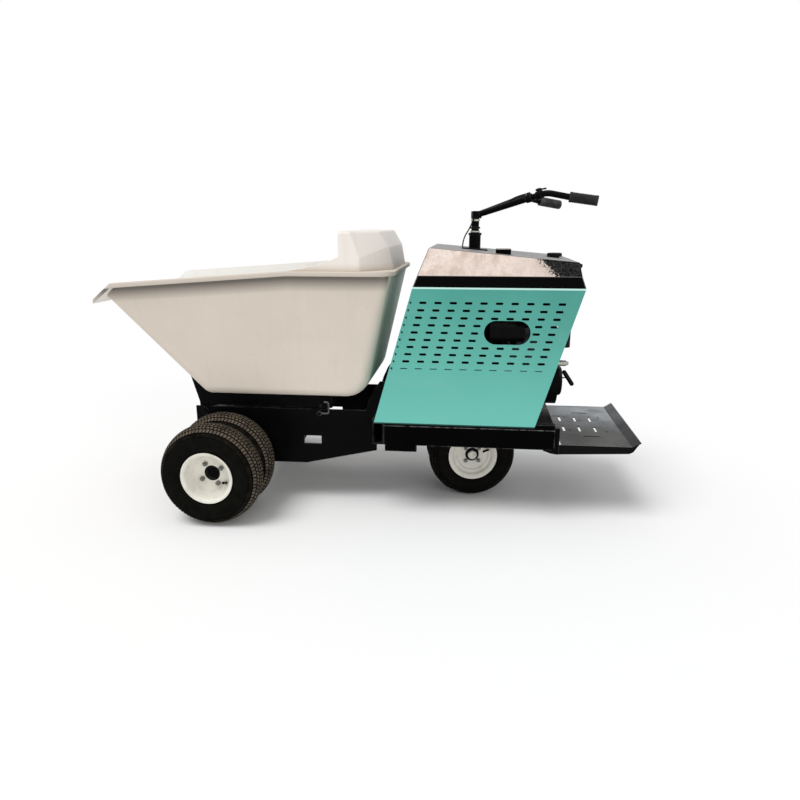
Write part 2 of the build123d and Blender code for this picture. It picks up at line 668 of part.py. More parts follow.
def rear_bar():
    """Rear cross bar with the two plates that carry the platform's fold pins."""
    inner = RAIL_Y - RAIL_FLANGE
    front_x, low_z = DECK_END_X - REAR_BAR_DEPTH, FRAME_DECK_Z - REAR_BAR_H
    bar = cross_tube(front_x, DECK_END_X, low_z, FRAME_DECK_Z, inner, TRANSOM_WALL)
    rear_x = FOLD_PIN_X + 2 * FOLD_PIN_R
    plate = polygon([
        (front_x, FOLD_PIN_Z), (FOLD_PIN_X - 2 * FOLD_PIN_R, FOLD_PIN_Z - 1.5 * FOLD_PIN_R),
        (rear_x, FOLD_PIN_Z - 2 * FOLD_PIN_R), (rear_x, PIN_PLATE_TOP_Z), (front_x, PIN_PLATE_TOP_Z),
    ])
    for side in SIDES.values():
        y0, y1 = sorted((side * (PLATFORM_HALF + SIDE_CLEAR), side * inner))
        bar += side_prism(plate, y0, y1)
        tip = side * (PLATFORM_HALF - PLATFORM_T - 8)
        bar += rod((FOLD_PIN_X, tip, FOLD_PIN_Z), (FOLD_PIN_X, side * (inner - 1), FOLD_PIN_Z), FOLD_PIN_R)
    return bar


def hinge_shaft():
    """Shaft through both side plates on which the tub tips."""
    half = SIDE_Y + 5
    shaft = rod((PIVOT_X, -half, PIVOT_Z), (PIVOT_X, half, PIVOT_Z), PIVOT_R)
    for side in SIDES.values():
        near, far = side * (SIDE_Y + SIDE_CLEAR), side * (half + 3)
        shaft += rod((PIVOT_X, near, PIVOT_Z), (PIVOT_X, far, PIVOT_Z), PIVOT_R + 5)
    return shaft


# Engine bay

def panel_edge_x(z, low_x, top_x):
    """Place of a panel's sloping edge at a height."""
    return low_x + (top_x - low_x) * (z - PANEL_LOW_Z) / (PANEL_TOP_Z - PANEL_LOW_Z)


def side_panel(side):
    """Sheet panel with rows of slots, an oval opening and folded front and rear returns."""
    outline = polygon([
        (PANEL_FRONT_LOW_X, PANEL_LOW_Z), (PANEL_REAR_LOW_X, PANEL_LOW_Z),
        (PANEL_REAR_TOP_X, PANEL_TOP_Z), (PANEL_FRONT_TOP_X, PANEL_TOP_Z),
    ])
    oval = Pos(OVAL_X, OVAL_Z) * SlotOverall(OVAL_L, OVAL_H)
    lean = (PANEL_FRONT_TOP_X - PANEL_FRONT_LOW_X) / (PANEL_TOP_Z - PANEL_LOW_Z)
    straight = (OVAL_L - OVAL_H + SLOT_L - SLOT_H) / 2
    slots = []
    for row in range(SLOT_ROWS):
        z = SLOT_FIRST_Z - row * SLOT_PITCH_Z
        height = SLOT_LAST_H if row == SLOT_ROWS - 1 else SLOT_H
        for column in range(SLOT_COLUMNS):
            x = SLOT_FIRST_X + column * SLOT_PITCH_X - row * SLOT_PITCH_Z * lean
            along = max(0.0, abs(x - OVAL_X) - straight)
            if math.hypot(along, z - OVAL_Z) > (OVAL_H + SLOT_H) / 2 + SLOT_WEB:
                slots.append(Pos(x, z) * SlotOverall(SLOT_L, height))
    face = outline - oval - slots
    y0, y1 = sorted((side * RAIL_Y, side * PANEL_Y))
    panel = side_prism(face, y0, y1)
    low_z = DECK_TOP_Z
    inner0, inner1 = sorted((side * (RAIL_Y - PANEL_RETURN), side * RAIL_Y))
    for low_x, top_x, step in (
        (PANEL_FRONT_LOW_X, PANEL_FRONT_TOP_X, PANEL_T), (PANEL_REAR_LOW_X, PANEL_REAR_TOP_X, -PANEL_T)
    ):
        x0 = panel_edge_x(low_z, low_x, top_x)
        flange = polygon([(x0, low_z), (x0 + step, low_z), (top_x + step, PANEL_TOP_Z), (top_x, PANEL_TOP_Z)])
        panel += side_prism(flange, inner0, inner1)
    return panel


def noise_lining():
    """Dark lining sheet on the inside of the right panel, between its returns."""
    low_z, top_z = DECK_TOP_Z + LINING_GAP, PANEL_TOP_Z - LINING_GAP
    corners = []
    for low_x, top_x, step in (
        (PANEL_FRONT_LOW_X, PANEL_FRONT_TOP_X, LINING_GAP), (PANEL_REAR_LOW_X, PANEL_REAR_TOP_X, -LINING_GAP)
    ):
        corners.append((panel_edge_x(low_z, low_x, top_x) + step, low_z))
        corners.append((panel_edge_x(top_z, low_x, top_x) + step, top_z))
    front_low, front_top, rear_low, rear_top = corners
    return side_prism(polygon([front_low, rear_low, rear_top, front_top]), RAIL_Y - LINING_T, RAIL_Y)


def rear_screen():
    """Sloping sheet across the back of the engine bay, against the panels' returns, notched for the starter."""
    top_z = PANEL_TOP_Z - LINING_GAP
    low_x = panel_edge_x(SCREEN_LOW_Z, PANEL_REAR_LOW_X, PANEL_REAR_TOP_X) - PANEL_T
    top_x = panel_edge_x(top_z, PANEL_REAR_LOW_X, PANEL_REAR_TOP_X) - PANEL_T
    section = polygon([
        (low_x - SCREEN_T, SCREEN_LOW_Z), (low_x, SCREEN_LOW_Z), (top_x, top_z), (top_x - SCREEN_T, top_z),
    ])
    sheet = side_prism(section, -RAIL_Y, RAIL_Y)
    for reach, height in (
        (CLEANER_REACH, CLEANER_Z[1]), ((-RECOIL_R, RECOIL_R), CRANK_Z + RECOIL_R)
    ):
        y0, y1 = CRANK_Y + reach[0] - LINING_GAP, CRANK_Y + reach[1] + LINING_GAP
        sheet -= box(low_x - LINING_GAP, top_x, y0, y1, SCREEN_LOW_Z - 1, height + LINING_GAP)
    return sheet


def bulkhead():
    """Sloping sheet that closes the front of the engine bay behind the panels' returns."""
    start = panel_edge_x(DECK_TOP_Z, PANEL_FRONT_LOW_X, PANEL_FRONT_TOP_X) + PANEL_T
    top = PANEL_FRONT_TOP_X + PANEL_T
    face = polygon([(start, DECK_TOP_Z), (start + 4, DECK_TOP_Z), (top + 4, PANEL_TOP_Z), (top, PANEL_TOP_Z)])
    return side_prism(face, -RAIL_Y, RAIL_Y)


def cowl_side_points(low_z):
    """Side view of the cowl."""
    return [
        (panel_edge_x(low_z, PANEL_FRONT_LOW_X, PANEL_FRONT_TOP_X), low_z), (COWL_FRONT_FOLD_X, COWL_FOLD_Z),
        (COWL_TOP_FRONT_X, COWL_TOP_FRONT_Z), (COWL_TOP_REAR_X, COWL_TOP_REAR_Z),
        (COWL_REAR_FOLD_X, COWL_FOLD_Z), (PANEL_REAR_TOP_X, low_z),
    ]


def cowl_block(inset, low_z):
    """Solid filling the cowl: the side view and the view along the machine, crossed."""
    rise = 200.0
    half = PANEL_Y
    across = polygon([
        (-half, low_z), (half, low_z), (half, COWL_FOLD_Z), (half - COWL_SIDE_LEAN * rise, COWL_FOLD_Z + rise),
        (COWL_SIDE_LEAN * rise - half, COWL_FOLD_Z + rise), (-half, COWL_FOLD_Z),
    ])
    side = polygon(cowl_side_points(low_z))
    if inset > 0:
        across = offset(across, amount=-inset, kind=Kind.INTERSECTION)
        side = offset(side, amount=-inset, kind=Kind.INTERSECTION)
    return side_prism(side, -half, half) & cross_prism(across, 0, 2 * COWL_REAR_FOLD_X)


def cowl_top_z(x):
    """Height of the cowl's sloping top."""
    return COWL_TOP_FRONT_Z - COWL_FALL * (x - COWL_TOP_FRONT_X)


FILLER_X = 1473.0
FILLER_Y = -65.0
FILLER_R = 22.0
FILLER_CLEAR = 1.0726
FUEL_CAP_R = 33.0
FUEL_CAP_H = 16.0
TANK_TOP_Z = 1070.0
SLEEVE_HOLE_R = 30.0
CONTROL_X = (1208.0, 1272.0)
CONTROL_Y = (-244.0, -184.0)
CONTROL_RISE = 25.0


def cowl():
    """Folded sheet cowl, open below, with holes for the steering column and the fuel filler."""
    block = cowl_block(0.0, PANEL_TOP_Z)
    folds = block.edges().filter_by(lambda e: e.center().Z > PANEL_TOP_Z + 1)
    shell = fillet(folds, COWL_FOLD_R) - cowl_block(COWL_T, PANEL_TOP_Z - 40)
    shell -= rod((COLUMN_X, 0, PANEL_TOP_Z), (COLUMN_X, 0, HEAD_Z), SLEEVE_HOLE_R)
    shell -= rod((FILLER_X, FILLER_Y, PANEL_TOP_Z), (FILLER_X, FILLER_Y, HEAD_Z), FILLER_R + 2)
    return shell + cowl_latch_base() + control_box()


def control_box():
    """Low switch box on the cowl's top, near its left edge."""
    low_z = cowl_top_z(CONTROL_X[1])
    case = box(*CONTROL_X, *CONTROL_Y, low_z - 1, low_z + CONTROL_RISE)
    case = fillet(case.edges().filter_by(Axis.Z), 8.0)
    case = fillet(case.edges().group_by(Axis.Z)[-1], 3.0)
    return case - cowl_block(0.0, PANEL_TOP_Z)


def column_sleeve():
    """Column sleeve on a base plate that follows the cowl's slope."""
    slope = math.degrees(math.atan(COWL_FALL))
    seat_z = cowl_top_z(COLUMN_X)
    plate = Pos(COLUMN_X, 0, seat_z) * Rot(0, slope, 0) * Pos(0, 0, 3.0) * Box(116, 116, 6.0)
    tube = rod((COLUMN_X, 0, seat_z - 20), (COLUMN_X, 0, SLEEVE_TOP_Z), SLEEVE_R)
    tube += rod((COLUMN_X, 0, SLEEVE_TOP_Z - 10), (COLUMN_X, 0, SLEEVE_TOP_Z), SLEEVE_R + 3.5)
    bore = rod((COLUMN_X, 0, seat_z - 40), (COLUMN_X, 0, SLEEVE_TOP_Z + 1), SHAFT_R + RUN_CLEAR)
    return plate + tube - bore


def filler_top_z():
    """Top of the filler neck, which lifts the cap's front edge clear of the sloping cowl."""
    return cowl_top_z(FILLER_X - FUEL_CAP_R) + FILLER_CLEAR


def fuel_tank():
    """Tank that reaches in from the right panel, its filler neck standing through the cowl."""
    tank = box(*FUEL_TANK_X, FUEL_TANK_Y, RAIL_Y - LINING_T, FUEL_TANK_LOW_Z, TANK_TOP_Z)
    tank = fillet(tank.edges().filter_by(Axis.X), FUEL_TANK_ROUND)
    return tank + rod((FILLER_X, FILLER_Y, TANK_TOP_Z), (FILLER_X, FILLER_Y, filler_top_z()), FILLER_R)


def fuel_cap():
    """Cap over the filler neck, with grip flats round its edge."""
    neck_top = filler_top_z() + SIDE_CLEAR
    cap = rod((FILLER_X, FILLER_Y, neck_top), (FILLER_X, FILLER_Y, neck_top + FUEL_CAP_H), FUEL_CAP_R)
    top = cap.edges().filter_by(GeomType.CIRCLE).sort_by(Axis.Z)[-1]
    return fillet(top, 6.0)


LATCH_LEVER_Y = -250.0
COWL_LATCH_Z = 1112.0
LATCH_LEVER_L = 46.0


def cowl_latch_base():
    """Plate of the draw latch on the cowl's rear face, with its pin."""
    face_x = COWL_REAR_FOLD_X
    y0, y1 = LATCH_LEVER_Y - 16, LATCH_LEVER_Y + 16
    base = box(face_x - 20, face_x + 4, y0, y1, COWL_LATCH_Z - 34, COWL_LATCH_Z + 12)
    base -= cowl_block(0.0, PANEL_TOP_Z)
    for y in (y0, y1 - 3):
        base += box(face_x + 3, face_x + 14, y, y + 3, COWL_LATCH_Z - 7, COWL_LATCH_Z + 7)
    pin = rod((face_x + 9, y0, COWL_LATCH_Z), (face_x + 9, y1, COWL_LATCH_Z), 3.0)
    return base + pin


def cowl_latch_lever():
    """Draw latch lever that hangs from the pin."""
    face_x = COWL_REAR_FOLD_X
    y0, y1 = LATCH_LEVER_Y - 12.7, LATCH_LEVER_Y + 12.7
    lever = box(face_x + 7, face_x + 11, y0, y1, COWL_LATCH_Z - LATCH_LEVER_L, COWL_LATCH_Z)
    lever += rod((face_x + 9, y0, COWL_LATCH_Z), (face_x + 9, y1, COWL_LATCH_Z), 4.8)
    return lever - rod((face_x + 9, y0 - 1, COWL_LATCH_Z), (face_x + 9, y1 + 1, COWL_LATCH_Z), 3.0 + RUN_CLEAR)


# Engine and hydraulic drive

def crankcase():
    """Crankcase on the deck with a mounting foot."""
    x0, x1 = ENGINE_X
    case = box(x0, x1, CRANK_Y - ENGINE_HALF, CRANK_Y + ENGINE_HALF, DECK_TOP_Z + 12, ENGINE_TOP_Z)
    case = fillet(case.edges().filter_by(Axis.X), CASE_ROUND)
    foot_half = ENGINE_HALF + 15
    foot = box(x0 + 10, x1 - 10, CRANK_Y - foot_half, CRANK_Y + foot_half, DECK_TOP_Z, DECK_TOP_Z + 12)
    return case + foot


def cylinder_place():
    """Frame on the crankcase top that leans with the cylinder."""
    return Pos((ENGINE_X[0] + ENGINE_X[1]) / 2, CRANK_Y + 15, ENGINE_TOP_Z - 12) * Rot(-20, 0, 0)


def engine_cylinder():
    """Leaning cylinder with cooling fins and a head."""
    core = Pos(0, 0, CYLINDER_SIZE[2] / 2) * Box(*CYLINDER_SIZE)
    for level in range(FIN_COUNT):
        core += Pos(0, 0, FIN_FIRST + level * FIN_PITCH) * Box(*FIN_SIZE)
    core += Pos(0, 0, HEAD_MIDDLE) * Box(*HEAD_SIZE)
    return cylinder_place() * core - crankcase()


def recoil_housing():
    """Round fan and starter housing on the engine's rear face, with the fuel tap."""
    x0 = ENGINE_X[1]
    step_x = RECOIL_REAR_X - RECOIL_CUP_DEPTH
    drum = rod((x0, CRANK_Y, CRANK_Z), (step_x, CRANK_Y, CRANK_Z), RECOIL_R)
    cup = rod((step_x, CRANK_Y, CRANK_Z), (RECOIL_REAR_X, CRANK_Y, CRANK_Z), RECOIL_CUP_R)
    rim = cup.edges().filter_by(GeomType.CIRCLE).sort_by(Axis.X)[-1]
    return drum + fillet(rim, RECOIL_CUP_ROUND) + fuel_tap()


GRIP_TOP = (1543.0, CRANK_Y, 622.0)
GRIP_LOW = (1580.0, CRANK_Y, 568.0)
ROPE_Z = 596.0


def starter_grip():
    """Starter handle, a bar with round ends."""
    bar = rod(GRIP_TOP, GRIP_LOW, GRIP_BAR_R)
    return bar + Pos(*GRIP_TOP) * Sphere(GRIP_BAR_R) + Pos(*GRIP_LOW) * Sphere(GRIP_BAR_R)


def starter_rope():
    """Stretch of rope between the housing and the handle."""
    rope = rod((RECOIL_REAR_X, CRANK_Y, ROPE_Z), (GRIP_LOW[0] - 8, CRANK_Y, ROPE_Z), ROPE_R)
    return (rope - starter_grip()).solids().sort_by(Axis.X)[0]


def muffler():
    """Muffler behind the oval opening, with its pipe from the cylinder head."""
    can = box(*MUFFLER_X, *MUFFLER_Y, *MUFFLER_Z)
    can = fillet(can.edges().filter_by(Axis.X), MUFFLER_ROUND)
    pipe = bent_tube([(PIPE_X, y, z) for y, z in PIPE_ROUTE], PIPE_R, PIPE_BEND_R)
    return can + pipe - engine_cylinder()


def air_cleaner():
    """Air cleaner over the starter housing, on a short stalk."""
    case = box(*CLEANER_X, CRANK_Y + CLEANER_REACH[0], CRANK_Y + CLEANER_REACH[1], *CLEANER_Z)
    case = fillet(case.edges().filter_by(Axis.Z), CLEANER_ROUND)
    stalk = box(*STALK_X, CRANK_Y - STALK_HALF, CRANK_Y + STALK_HALF, STALK_LOW_Z, CLEANER_Z[0] + 2)
    return case + stalk - recoil_housing()


def fuel_tap():
    """Small metal tap on the starter housing."""
    y, z = CRANK_Y - TAP_PLACE[0], CRANK_Z + TAP_PLACE[1]
    tap = rod((RECOIL_REAR_X - RECOIL_CUP_DEPTH, y, z), (RECOIL_REAR_X + 14, y, z), 13.0)
    return tap + rod((RECOIL_REAR_X + 14, y, z), (RECOIL_REAR_X + 24, y, z), 8.0)


def pump():
    """Pump on a bell housing at the engine's front, with two ports and a foot on the deck."""
    body = rod((PUMP_X, CRANK_Y, CRANK_Z), (BELL_X, CRANK_Y, CRANK_Z), PUMP_R)
    body += rod((BELL_X, CRANK_Y, CRANK_Z), (ENGINE_X[0], CRANK_Y, CRANK_Z), BELL_R)
    for y, z in PUMP_PORTS:
        near = (PUMP_X - PORT_RISE, CRANK_Y + y, CRANK_Z + z)
        body += rod(near, (PUMP_X + 5, CRANK_Y + y, CRANK_Z + z), PORT_R)
    foot = box(*PUMP_FOOT_X, CRANK_Y - PUMP_FOOT_HALF, CRANK_Y + PUMP_FOOT_HALF, DECK_TOP_Z, CRANK_Z)
    return body + foot


def hydraulic_tank():
    """Oil tank on the deck at the right, with its cap."""
    tank = box(*OIL_TANK_X, *OIL_TANK_Y, DECK_TOP_Z, OIL_TANK_TOP_Z)
    tank = fillet(tank.edges().filter_by(Axis.Z), OIL_TANK_ROUND)
    foot = (OIL_CAP_X, OIL_CAP_Y, OIL_TANK_TOP_Z)
    return tank + rod(foot, (OIL_CAP_X, OIL_CAP_Y, OIL_TANK_TOP_Z + OIL_CAP_H), OIL_CAP_R)


def wheel_motor(side):
    """Hydraulic wheel motor bolted to the inside of a side plate, with a port on top."""
    flange_y = side * (SIDE_Y - PLATE_T)
    body_y = side * (SIDE_Y - PLATE_T - MOTOR_L)
    half = MOTOR_FLANGE_HALF
    y0, y1 = sorted((flange_y, flange_y - side * MOTOR_FLANGE_T))
    motor = box(-half, half, y0, y1, FRONT_TYRE_R - half, FRONT_TYRE_R + half)
    motor += rod((0, flange_y, FRONT_TYRE_R), (0, body_y, FRONT_TYRE_R), MOTOR_R)
    port_x, port_y = MOTOR_PORT
    top_z = FRONT_TYRE_R + MOTOR_R
    motor += rod((port_x, side * port_y, top_z - 20), (port_x, side * port_y, top_z + PORT_RISE), PORT_R)
    nose_y = side * (SIDE_Y + 4)
    motor += rod((0, flange_y, FRONT_TYRE_R), (0, nose_y, FRONT_TYRE_R), MOTOR_HOLE_R - SEAT_CLEAR)
    bore_y = side * (SIDE_Y - PLATE_T - 60)
    return motor - rod((0, nose_y + side, FRONT_TYRE_R), (0, bore_y, FRONT_TYRE_R), DRIVE_R + RUN_CLEAR)


# Wheels
DRIVE_R = 20.0
HUB_R = 30.0
HUB_FLANGE_R = 66.0
HUB_FLANGE_T = 10.0


def rim_face(half):
    """Section of a rim's barrel: flanges, bead seats and drop well."""
    step = half - RIM_SHEET - 2
    seat, well, sheet = RIM_SEAT_R, RIM_WELL_R, RIM_SHEET
    slope_y, well_y = half * 0.7, half * 0.16
    return polygon([
        (RIM_FLANGE_R, half), (RIM_FLANGE_R, half - sheet), (seat, step), (seat, slope_y), (well, well_y),
        (well, -well_y), (seat, -slope_y), (seat, -step), (RIM_FLANGE_R, sheet - half), (RIM_FLANGE_R, -half),
        (seat - sheet, sheet - half), (seat - sheet, -slope_y - 2), (well - sheet, -well_y - 2),
        (well - sheet, well_y + 2), (seat - sheet, slope_y + 2), (seat - sheet, half - sheet),
    ])


def tyre_face(radius, width, rim_half):
    """Section of a tyre: rounded tread, bulging sidewalls and beads seated on the rim."""
    bead_y = rim_half - RIM_SHEET - 2 - SEAT_CLEAR
    bead_r = RIM_SEAT_R + SEAT_CLEAR
    half = width / 2
    edge_r, edge_y = radius - 0.1 * radius, half * 0.8
    shoulder_r, shoulder_y = radius - 0.155 * radius, half * 0.96
    wall_r = (shoulder_r + RIM_FLANGE_R) / 2
    foot_r = RIM_FLANGE_R + 3
    side = []
    for sign in (1, -1):
        side.append(Line((edge_r, sign * edge_y), (shoulder_r, sign * shoulder_y)))
        bulge = (wall_r, sign * half)
        side.append(ThreePointArc((shoulder_r, sign * shoulder_y), bulge, (foot_r, sign * bead_y)))
        side.append(Line((foot_r, sign * bead_y), (bead_r, sign * bead_y)))
        side.append(Line((bead_r, sign * bead_y), (bead_r, sign * (bead_y - TYRE_WALL))))
        inner_r, inner_y = radius - TYRE_WALL - 10, half - TYRE_WALL - 8
        side.append(Line((bead_r, sign * (bead_y - TYRE_WALL)), (foot_r + 8, sign * (bead_y - TYRE_WALL))))
        side.append(Line((foot_r + 8, sign * (bead_y - TYRE_WALL)), (inner_r - 30, sign * inner_y)))
        side.append(Line((inner_r - 30, sign * inner_y), (inner_r, sign * (inner_y - 20))))
    crown = ThreePointArc((edge_r, -edge_y), (radius, 0), (edge_r, edge_y))
    roof = Line((inner_r, inner_y - 20), (inner_r, 20 - inner_y))
    return make_face(crown + roof + side)


def front_rim(side, y):
    """Front rim with a flat disc at its middle, a centre hole and lug holes."""
    half = FRONT_RIM_HALF
    barrel = rim_face(half)
    disc = polygon([
        (HUB_BORE_R, -DISC_T / 2), (RIM_WELL_R - 1, -DISC_T / 2),
        (RIM_WELL_R - 1, DISC_T / 2), (HUB_BORE_R, DISC_T / 2),
    ])
    rim = spun(barrel + disc, 0, side * y, FRONT_TYRE_R, side)
    for turn in range(LUG_COUNT):
        angle = math.radians(LUG_TURN + 360 / LUG_COUNT * turn)
        x, z = LUG_CIRCLE_R * math.cos(angle), FRONT_TYRE_R + LUG_CIRCLE_R * math.sin(angle)
        rim -= rod((x, side * y - 20, z), (x, side * y + 20, z), LUG_R + SEAT_CLEAR)
    return rim


def front_tyre(side, y):
    """Front tyre on its rim."""
    return spun(tyre_face(FRONT_TYRE_R, FRONT_TYRE_W, FRONT_RIM_HALF), 0, side * y, FRONT_TYRE_R, side)


def front_hub(side):
    """Hub on the motor shaft with a flange, studs and nuts for each of the two rims."""
    z = FRONT_TYRE_R
    inner_y = FRONT_OUTER_Y - DUAL_PITCH
    hub = rod((0, side * (SIDE_Y - PLATE_T - 55), z), (0, side * (SIDE_Y + 8), z), DRIVE_R)
    hub += rod((0, side * (SIDE_Y + 4 + SIDE_CLEAR), z), (0, side * (FRONT_OUTER_Y - DISC_T / 2), z), HUB_R)
    for y in (inner_y, FRONT_OUTER_Y):
        face_y = side * (y - DISC_T / 2)
        hub += rod((0, face_y - side * HUB_FLANGE_T, z), (0, face_y, z), HUB_FLANGE_R)
        for turn in range(LUG_COUNT):
            angle = math.radians(LUG_TURN + 360 / LUG_COUNT * turn)
            x, stud_z = LUG_CIRCLE_R * math.cos(angle), z + LUG_CIRCLE_R * math.sin(angle)
            hub += rod((x, face_y, stud_z), (x, side * (y + 22), stud_z), LUG_R)
            nut = Plane((x, side * (y + DISC_T / 2), stud_z), z_dir=(0, side, 0)) * RegularPolygon(11.0, 6)
            hub += extrude(nut, amount=12.0)
    return hub


def rear_rim(side):
    """Rear rim with a stepped dish, bolted to a hub that runs on the axle and ends in a dust cap."""
    bore = REAR_AXLE_R + RUN_CLEAR
    dish = polygon([
        (RIM_WELL_R - 1, REAR_DISH_FOOT_Y[0]), (RIM_WELL_R - 1, REAR_DISH_FOOT_Y[1]), *REAR_DISH,
        (REAR_DISC_HOLE_R, REAR_DISC_Y[1]), (REAR_DISC_HOLE_R, REAR_DISC_Y[0]), *REAR_DISH_BACK,
    ])
    hub = polygon([
        (0, REAR_BORE_END), (0, REAR_CAP_Y), (REAR_CAP_R, REAR_CAP_Y), (REAR_CAP_R, REAR_HUB_Y[1]),
        (REAR_HUB_R, REAR_HUB_Y[1]), (REAR_HUB_R, REAR_DISC_Y[0]), (HUB_FLANGE_R, REAR_DISC_Y[0]),
        (HUB_FLANGE_R, REAR_HUB_FLANGE_Y), (REAR_HUB_R, REAR_HUB_FLANGE_Y), (REAR_HUB_R, REAR_HUB_Y[0]),
        (bore, REAR_HUB_Y[0]), (bore, REAR_BORE_END),
    ])
    wheel = spun(rim_face(REAR_RIM_HALF) + dish + hub, COLUMN_X, side * REAR_WHEEL_Y, REAR_TYRE_R, side)
    for turn in range(LUG_COUNT):
        angle = math.radians(45 + 360 / LUG_COUNT * turn)
        x = COLUMN_X + REAR_LUG_CIRCLE_R * math.cos(angle)
        z = REAR_TYRE_R + REAR_LUG_CIRCLE_R * math.sin(angle)
        y = side * (REAR_WHEEL_Y + REAR_DISC_Y[1] - 1)
        wheel += rod((x, y, z), (x, y + side * REAR_STUD_L, z), LUG_R)
        nut = Plane((x, y, z), z_dir=(0, side, 0)) * RegularPolygon(REAR_NUT_R, 6)
        wheel += extrude(nut, amount=REAR_NUT_H)
    return wheel


def rear_tyre(side):
    """Rear tyre on its rim."""
    face = tyre_face(REAR_TYRE_R, REAR_TYRE_W, REAR_RIM_HALF)
    return spun(face, COLUMN_X, side * REAR_WHEEL_Y, REAR_TYRE_R, side)


def rear_axle():
    """Axle through the steering leg, its ends inside the hubs."""
    end = REAR_WHEEL_Y + REAR_BORE_END - SIDE_CLEAR
    return rod((COLUMN_X, -end, REAR_TYRE_R), (COLUMN_X, end, REAR_TYRE_R), REAR_AXLE_R)


# Steering

def steering_shaft():
    """Steering shaft with the leg that goes down between the rear wheels."""
    front, back = COLUMN_X - LEG_X / 2, COLUMN_X + LEG_X / 2
    leg = box(front, back, -LEG_Y / 2, LEG_Y / 2, REAR_TYRE_R - 45, BEARING_LOW_Z - SIDE_CLEAR)
    leg = fillet(leg.edges().filter_by(Axis.Z), 8.0)
    step_z = SLEEVE_TOP_Z + SIDE_CLEAR
    shaft = rod((COLUMN_X, 0, REAR_TYRE_R), (COLUMN_X, 0, step_z), SHAFT_R)
    shaft += rod((COLUMN_X, 0, step_z), (COLUMN_X, 0, step_z + 10), SHAFT_R + 4)
    shaft += rod((COLUMN_X, 0, step_z + 10), (COLUMN_X, 0, HEAD_Z - HEAD_DROP), SHAFT_TOP_R)
    shaft += rod((COLUMN_X, 0, step_z + 18), (COLUMN_X, 0, step_z + 26), SHAFT_FLANGE_R)
    bore = rod((COLUMN_X, -LEG_Y, REAR_TYRE_R), (COLUMN_X, LEG_Y, REAR_TYRE_R), REAR_AXLE_R + RUN_CLEAR)
    return leg + shaft - bore


def bearing_housing():
    """Bearing tube for the steering shaft, flanged to the deck."""
    tube = ring((COLUMN_X, 0, BEARING_LOW_Z), (COLUMN_X, 0, BEARING_TOP_Z), BEARING_R, SHAFT_R + RUN_CLEAR)
    return tube + ring((COLUMN_X, 0, DECK_TOP_Z), (COLUMN_X, 0, DECK_TOP_Z + 10), BEARING_R + 17, BEARING_R - 2)


def steering_head():
    """Head block on the shaft that holds both handlebar arms."""
    block = box(COLUMN_X - 18, COLUMN_X + 25, -32, 32, HEAD_Z - HEAD_DROP, HEAD_Z + 16)
    block = fillet(block.edges().filter_by(Axis.Z), 12.0)
    return fillet(block.edges().group_by(Axis.Z)[-1], 5.0)


def bar_points(side):
    """Route of one handlebar arm."""
    return [Vector(COLUMN_X + x, side * y, HEAD_Z + z) for x, y, z in (BAR_ROOT, BAR_BEND, BAR_GRIP, BAR_END)]


def handlebar(side):
    """One arm of the handlebar, from the head to the end of its grip, the left one with its clamps."""
    points = bar_points(side)
    arm = bent_tube(points, BAR_R, [70.0, 60.0]) - steering_head()
    if side < 0:
        for clamp in throttle_perches():
            arm += clamp
    return arm


def grip(side):
    """Ribbed rubber grip over the end of an arm."""
    start, end = bar_points(side)[2:]
    back = (start - end).normalized()
    foot = end - back * 3.0
    profile = Circle(GRIP_R) - Circle(BAR_R + SEAT_CLEAR)
    sleeve = extrude(Plane(foot, z_dir=back) * profile, amount=GRIP_L)
    for rib in range(8):
        place = Plane(foot + back * (14.0 + rib * 13.5), z_dir=back)
        sleeve -= extrude(place * (Circle(GRIP_R + 1) - Circle(GRIP_R - 1.5)), amount=4.0)
    cover = extrude(Plane(foot - back * 4.0, z_dir=back) * Circle(GRIP_R), amount=4.0)
    plug = extrude(Plane(foot, z_dir=back) * Circle(BAR_R + SEAT_CLEAR), amount=2.5)
    return sleeve + cover + plug


def arm_place(share, rise):
    """Point along the left arm's first run, raised square to it, with the run's direction and its upright."""
    root, bend = bar_points(-1)[:2]
    run = (bend - root).normalized()
    level = run.cross(Vector(0, 0, 1)).normalized()
    up = level.cross(run).normalized()
    return root + (bend - root) * share + up * rise, run, up


PERCH_SHARES = (0.76, 0.9)
PERCH_R = 17.5
PERCH_SEAT = 19.0
STOP_RISE = 24.0
LEVER_PIN_R = 4.0
LEVER_PIN_RISE = 28.5
LEVER_T = 7.0
LEVER_REST = 40.0
BLADE_T = 5.0
STOP_R = 8.0


def throttle_perches():
    """Two clamps on the left arm: the cable stop and the lever's seat."""
    made = []
    for index, share in enumerate(PERCH_SHARES):
        foot, run, up = arm_place(share, 0.0)
        clamp = extrude(Plane(foot - run * 13, z_dir=run) * Circle(PERCH_R), amount=26.0)
        start = BAR_R + 2
        rise = (PERCH_SEAT if index else STOP_RISE) - start
        made.append(clamp + extrude(Plane(foot + up * start, z_dir=up) * Circle(STOP_R), amount=rise))
        if index:
            pin = Plane(foot + up * start, z_dir=up) * Circle(LEVER_PIN_R)
            made.append(extrude(pin, amount=LEVER_PIN_RISE - start))
    return made


def throttle_lever():
    """Thumb lever on the rear clamp's pin."""
    foot, run, up = arm_place(PERCH_SHARES[1], PERCH_SEAT + SIDE_CLEAR)
    side = up.cross(run).normalized()
    disc = extrude(Plane(foot, x_dir=run, z_dir=up) * Circle(13.0), amount=LEVER_T)
    blade = Plane(foot, x_dir=run, z_dir=up) * Rot(0, 0, LEVER_REST) * Pos(12, 0) * SlotOverall(44, 12)
    lever = disc + extrude(blade, amount=BLADE_T)
    bore = Plane(foot - up * 5, x_dir=side, z_dir=up) * Circle(LEVER_PIN_R + RUN_CLEAR)
    return lever - extrude(bore, amount=30.0)


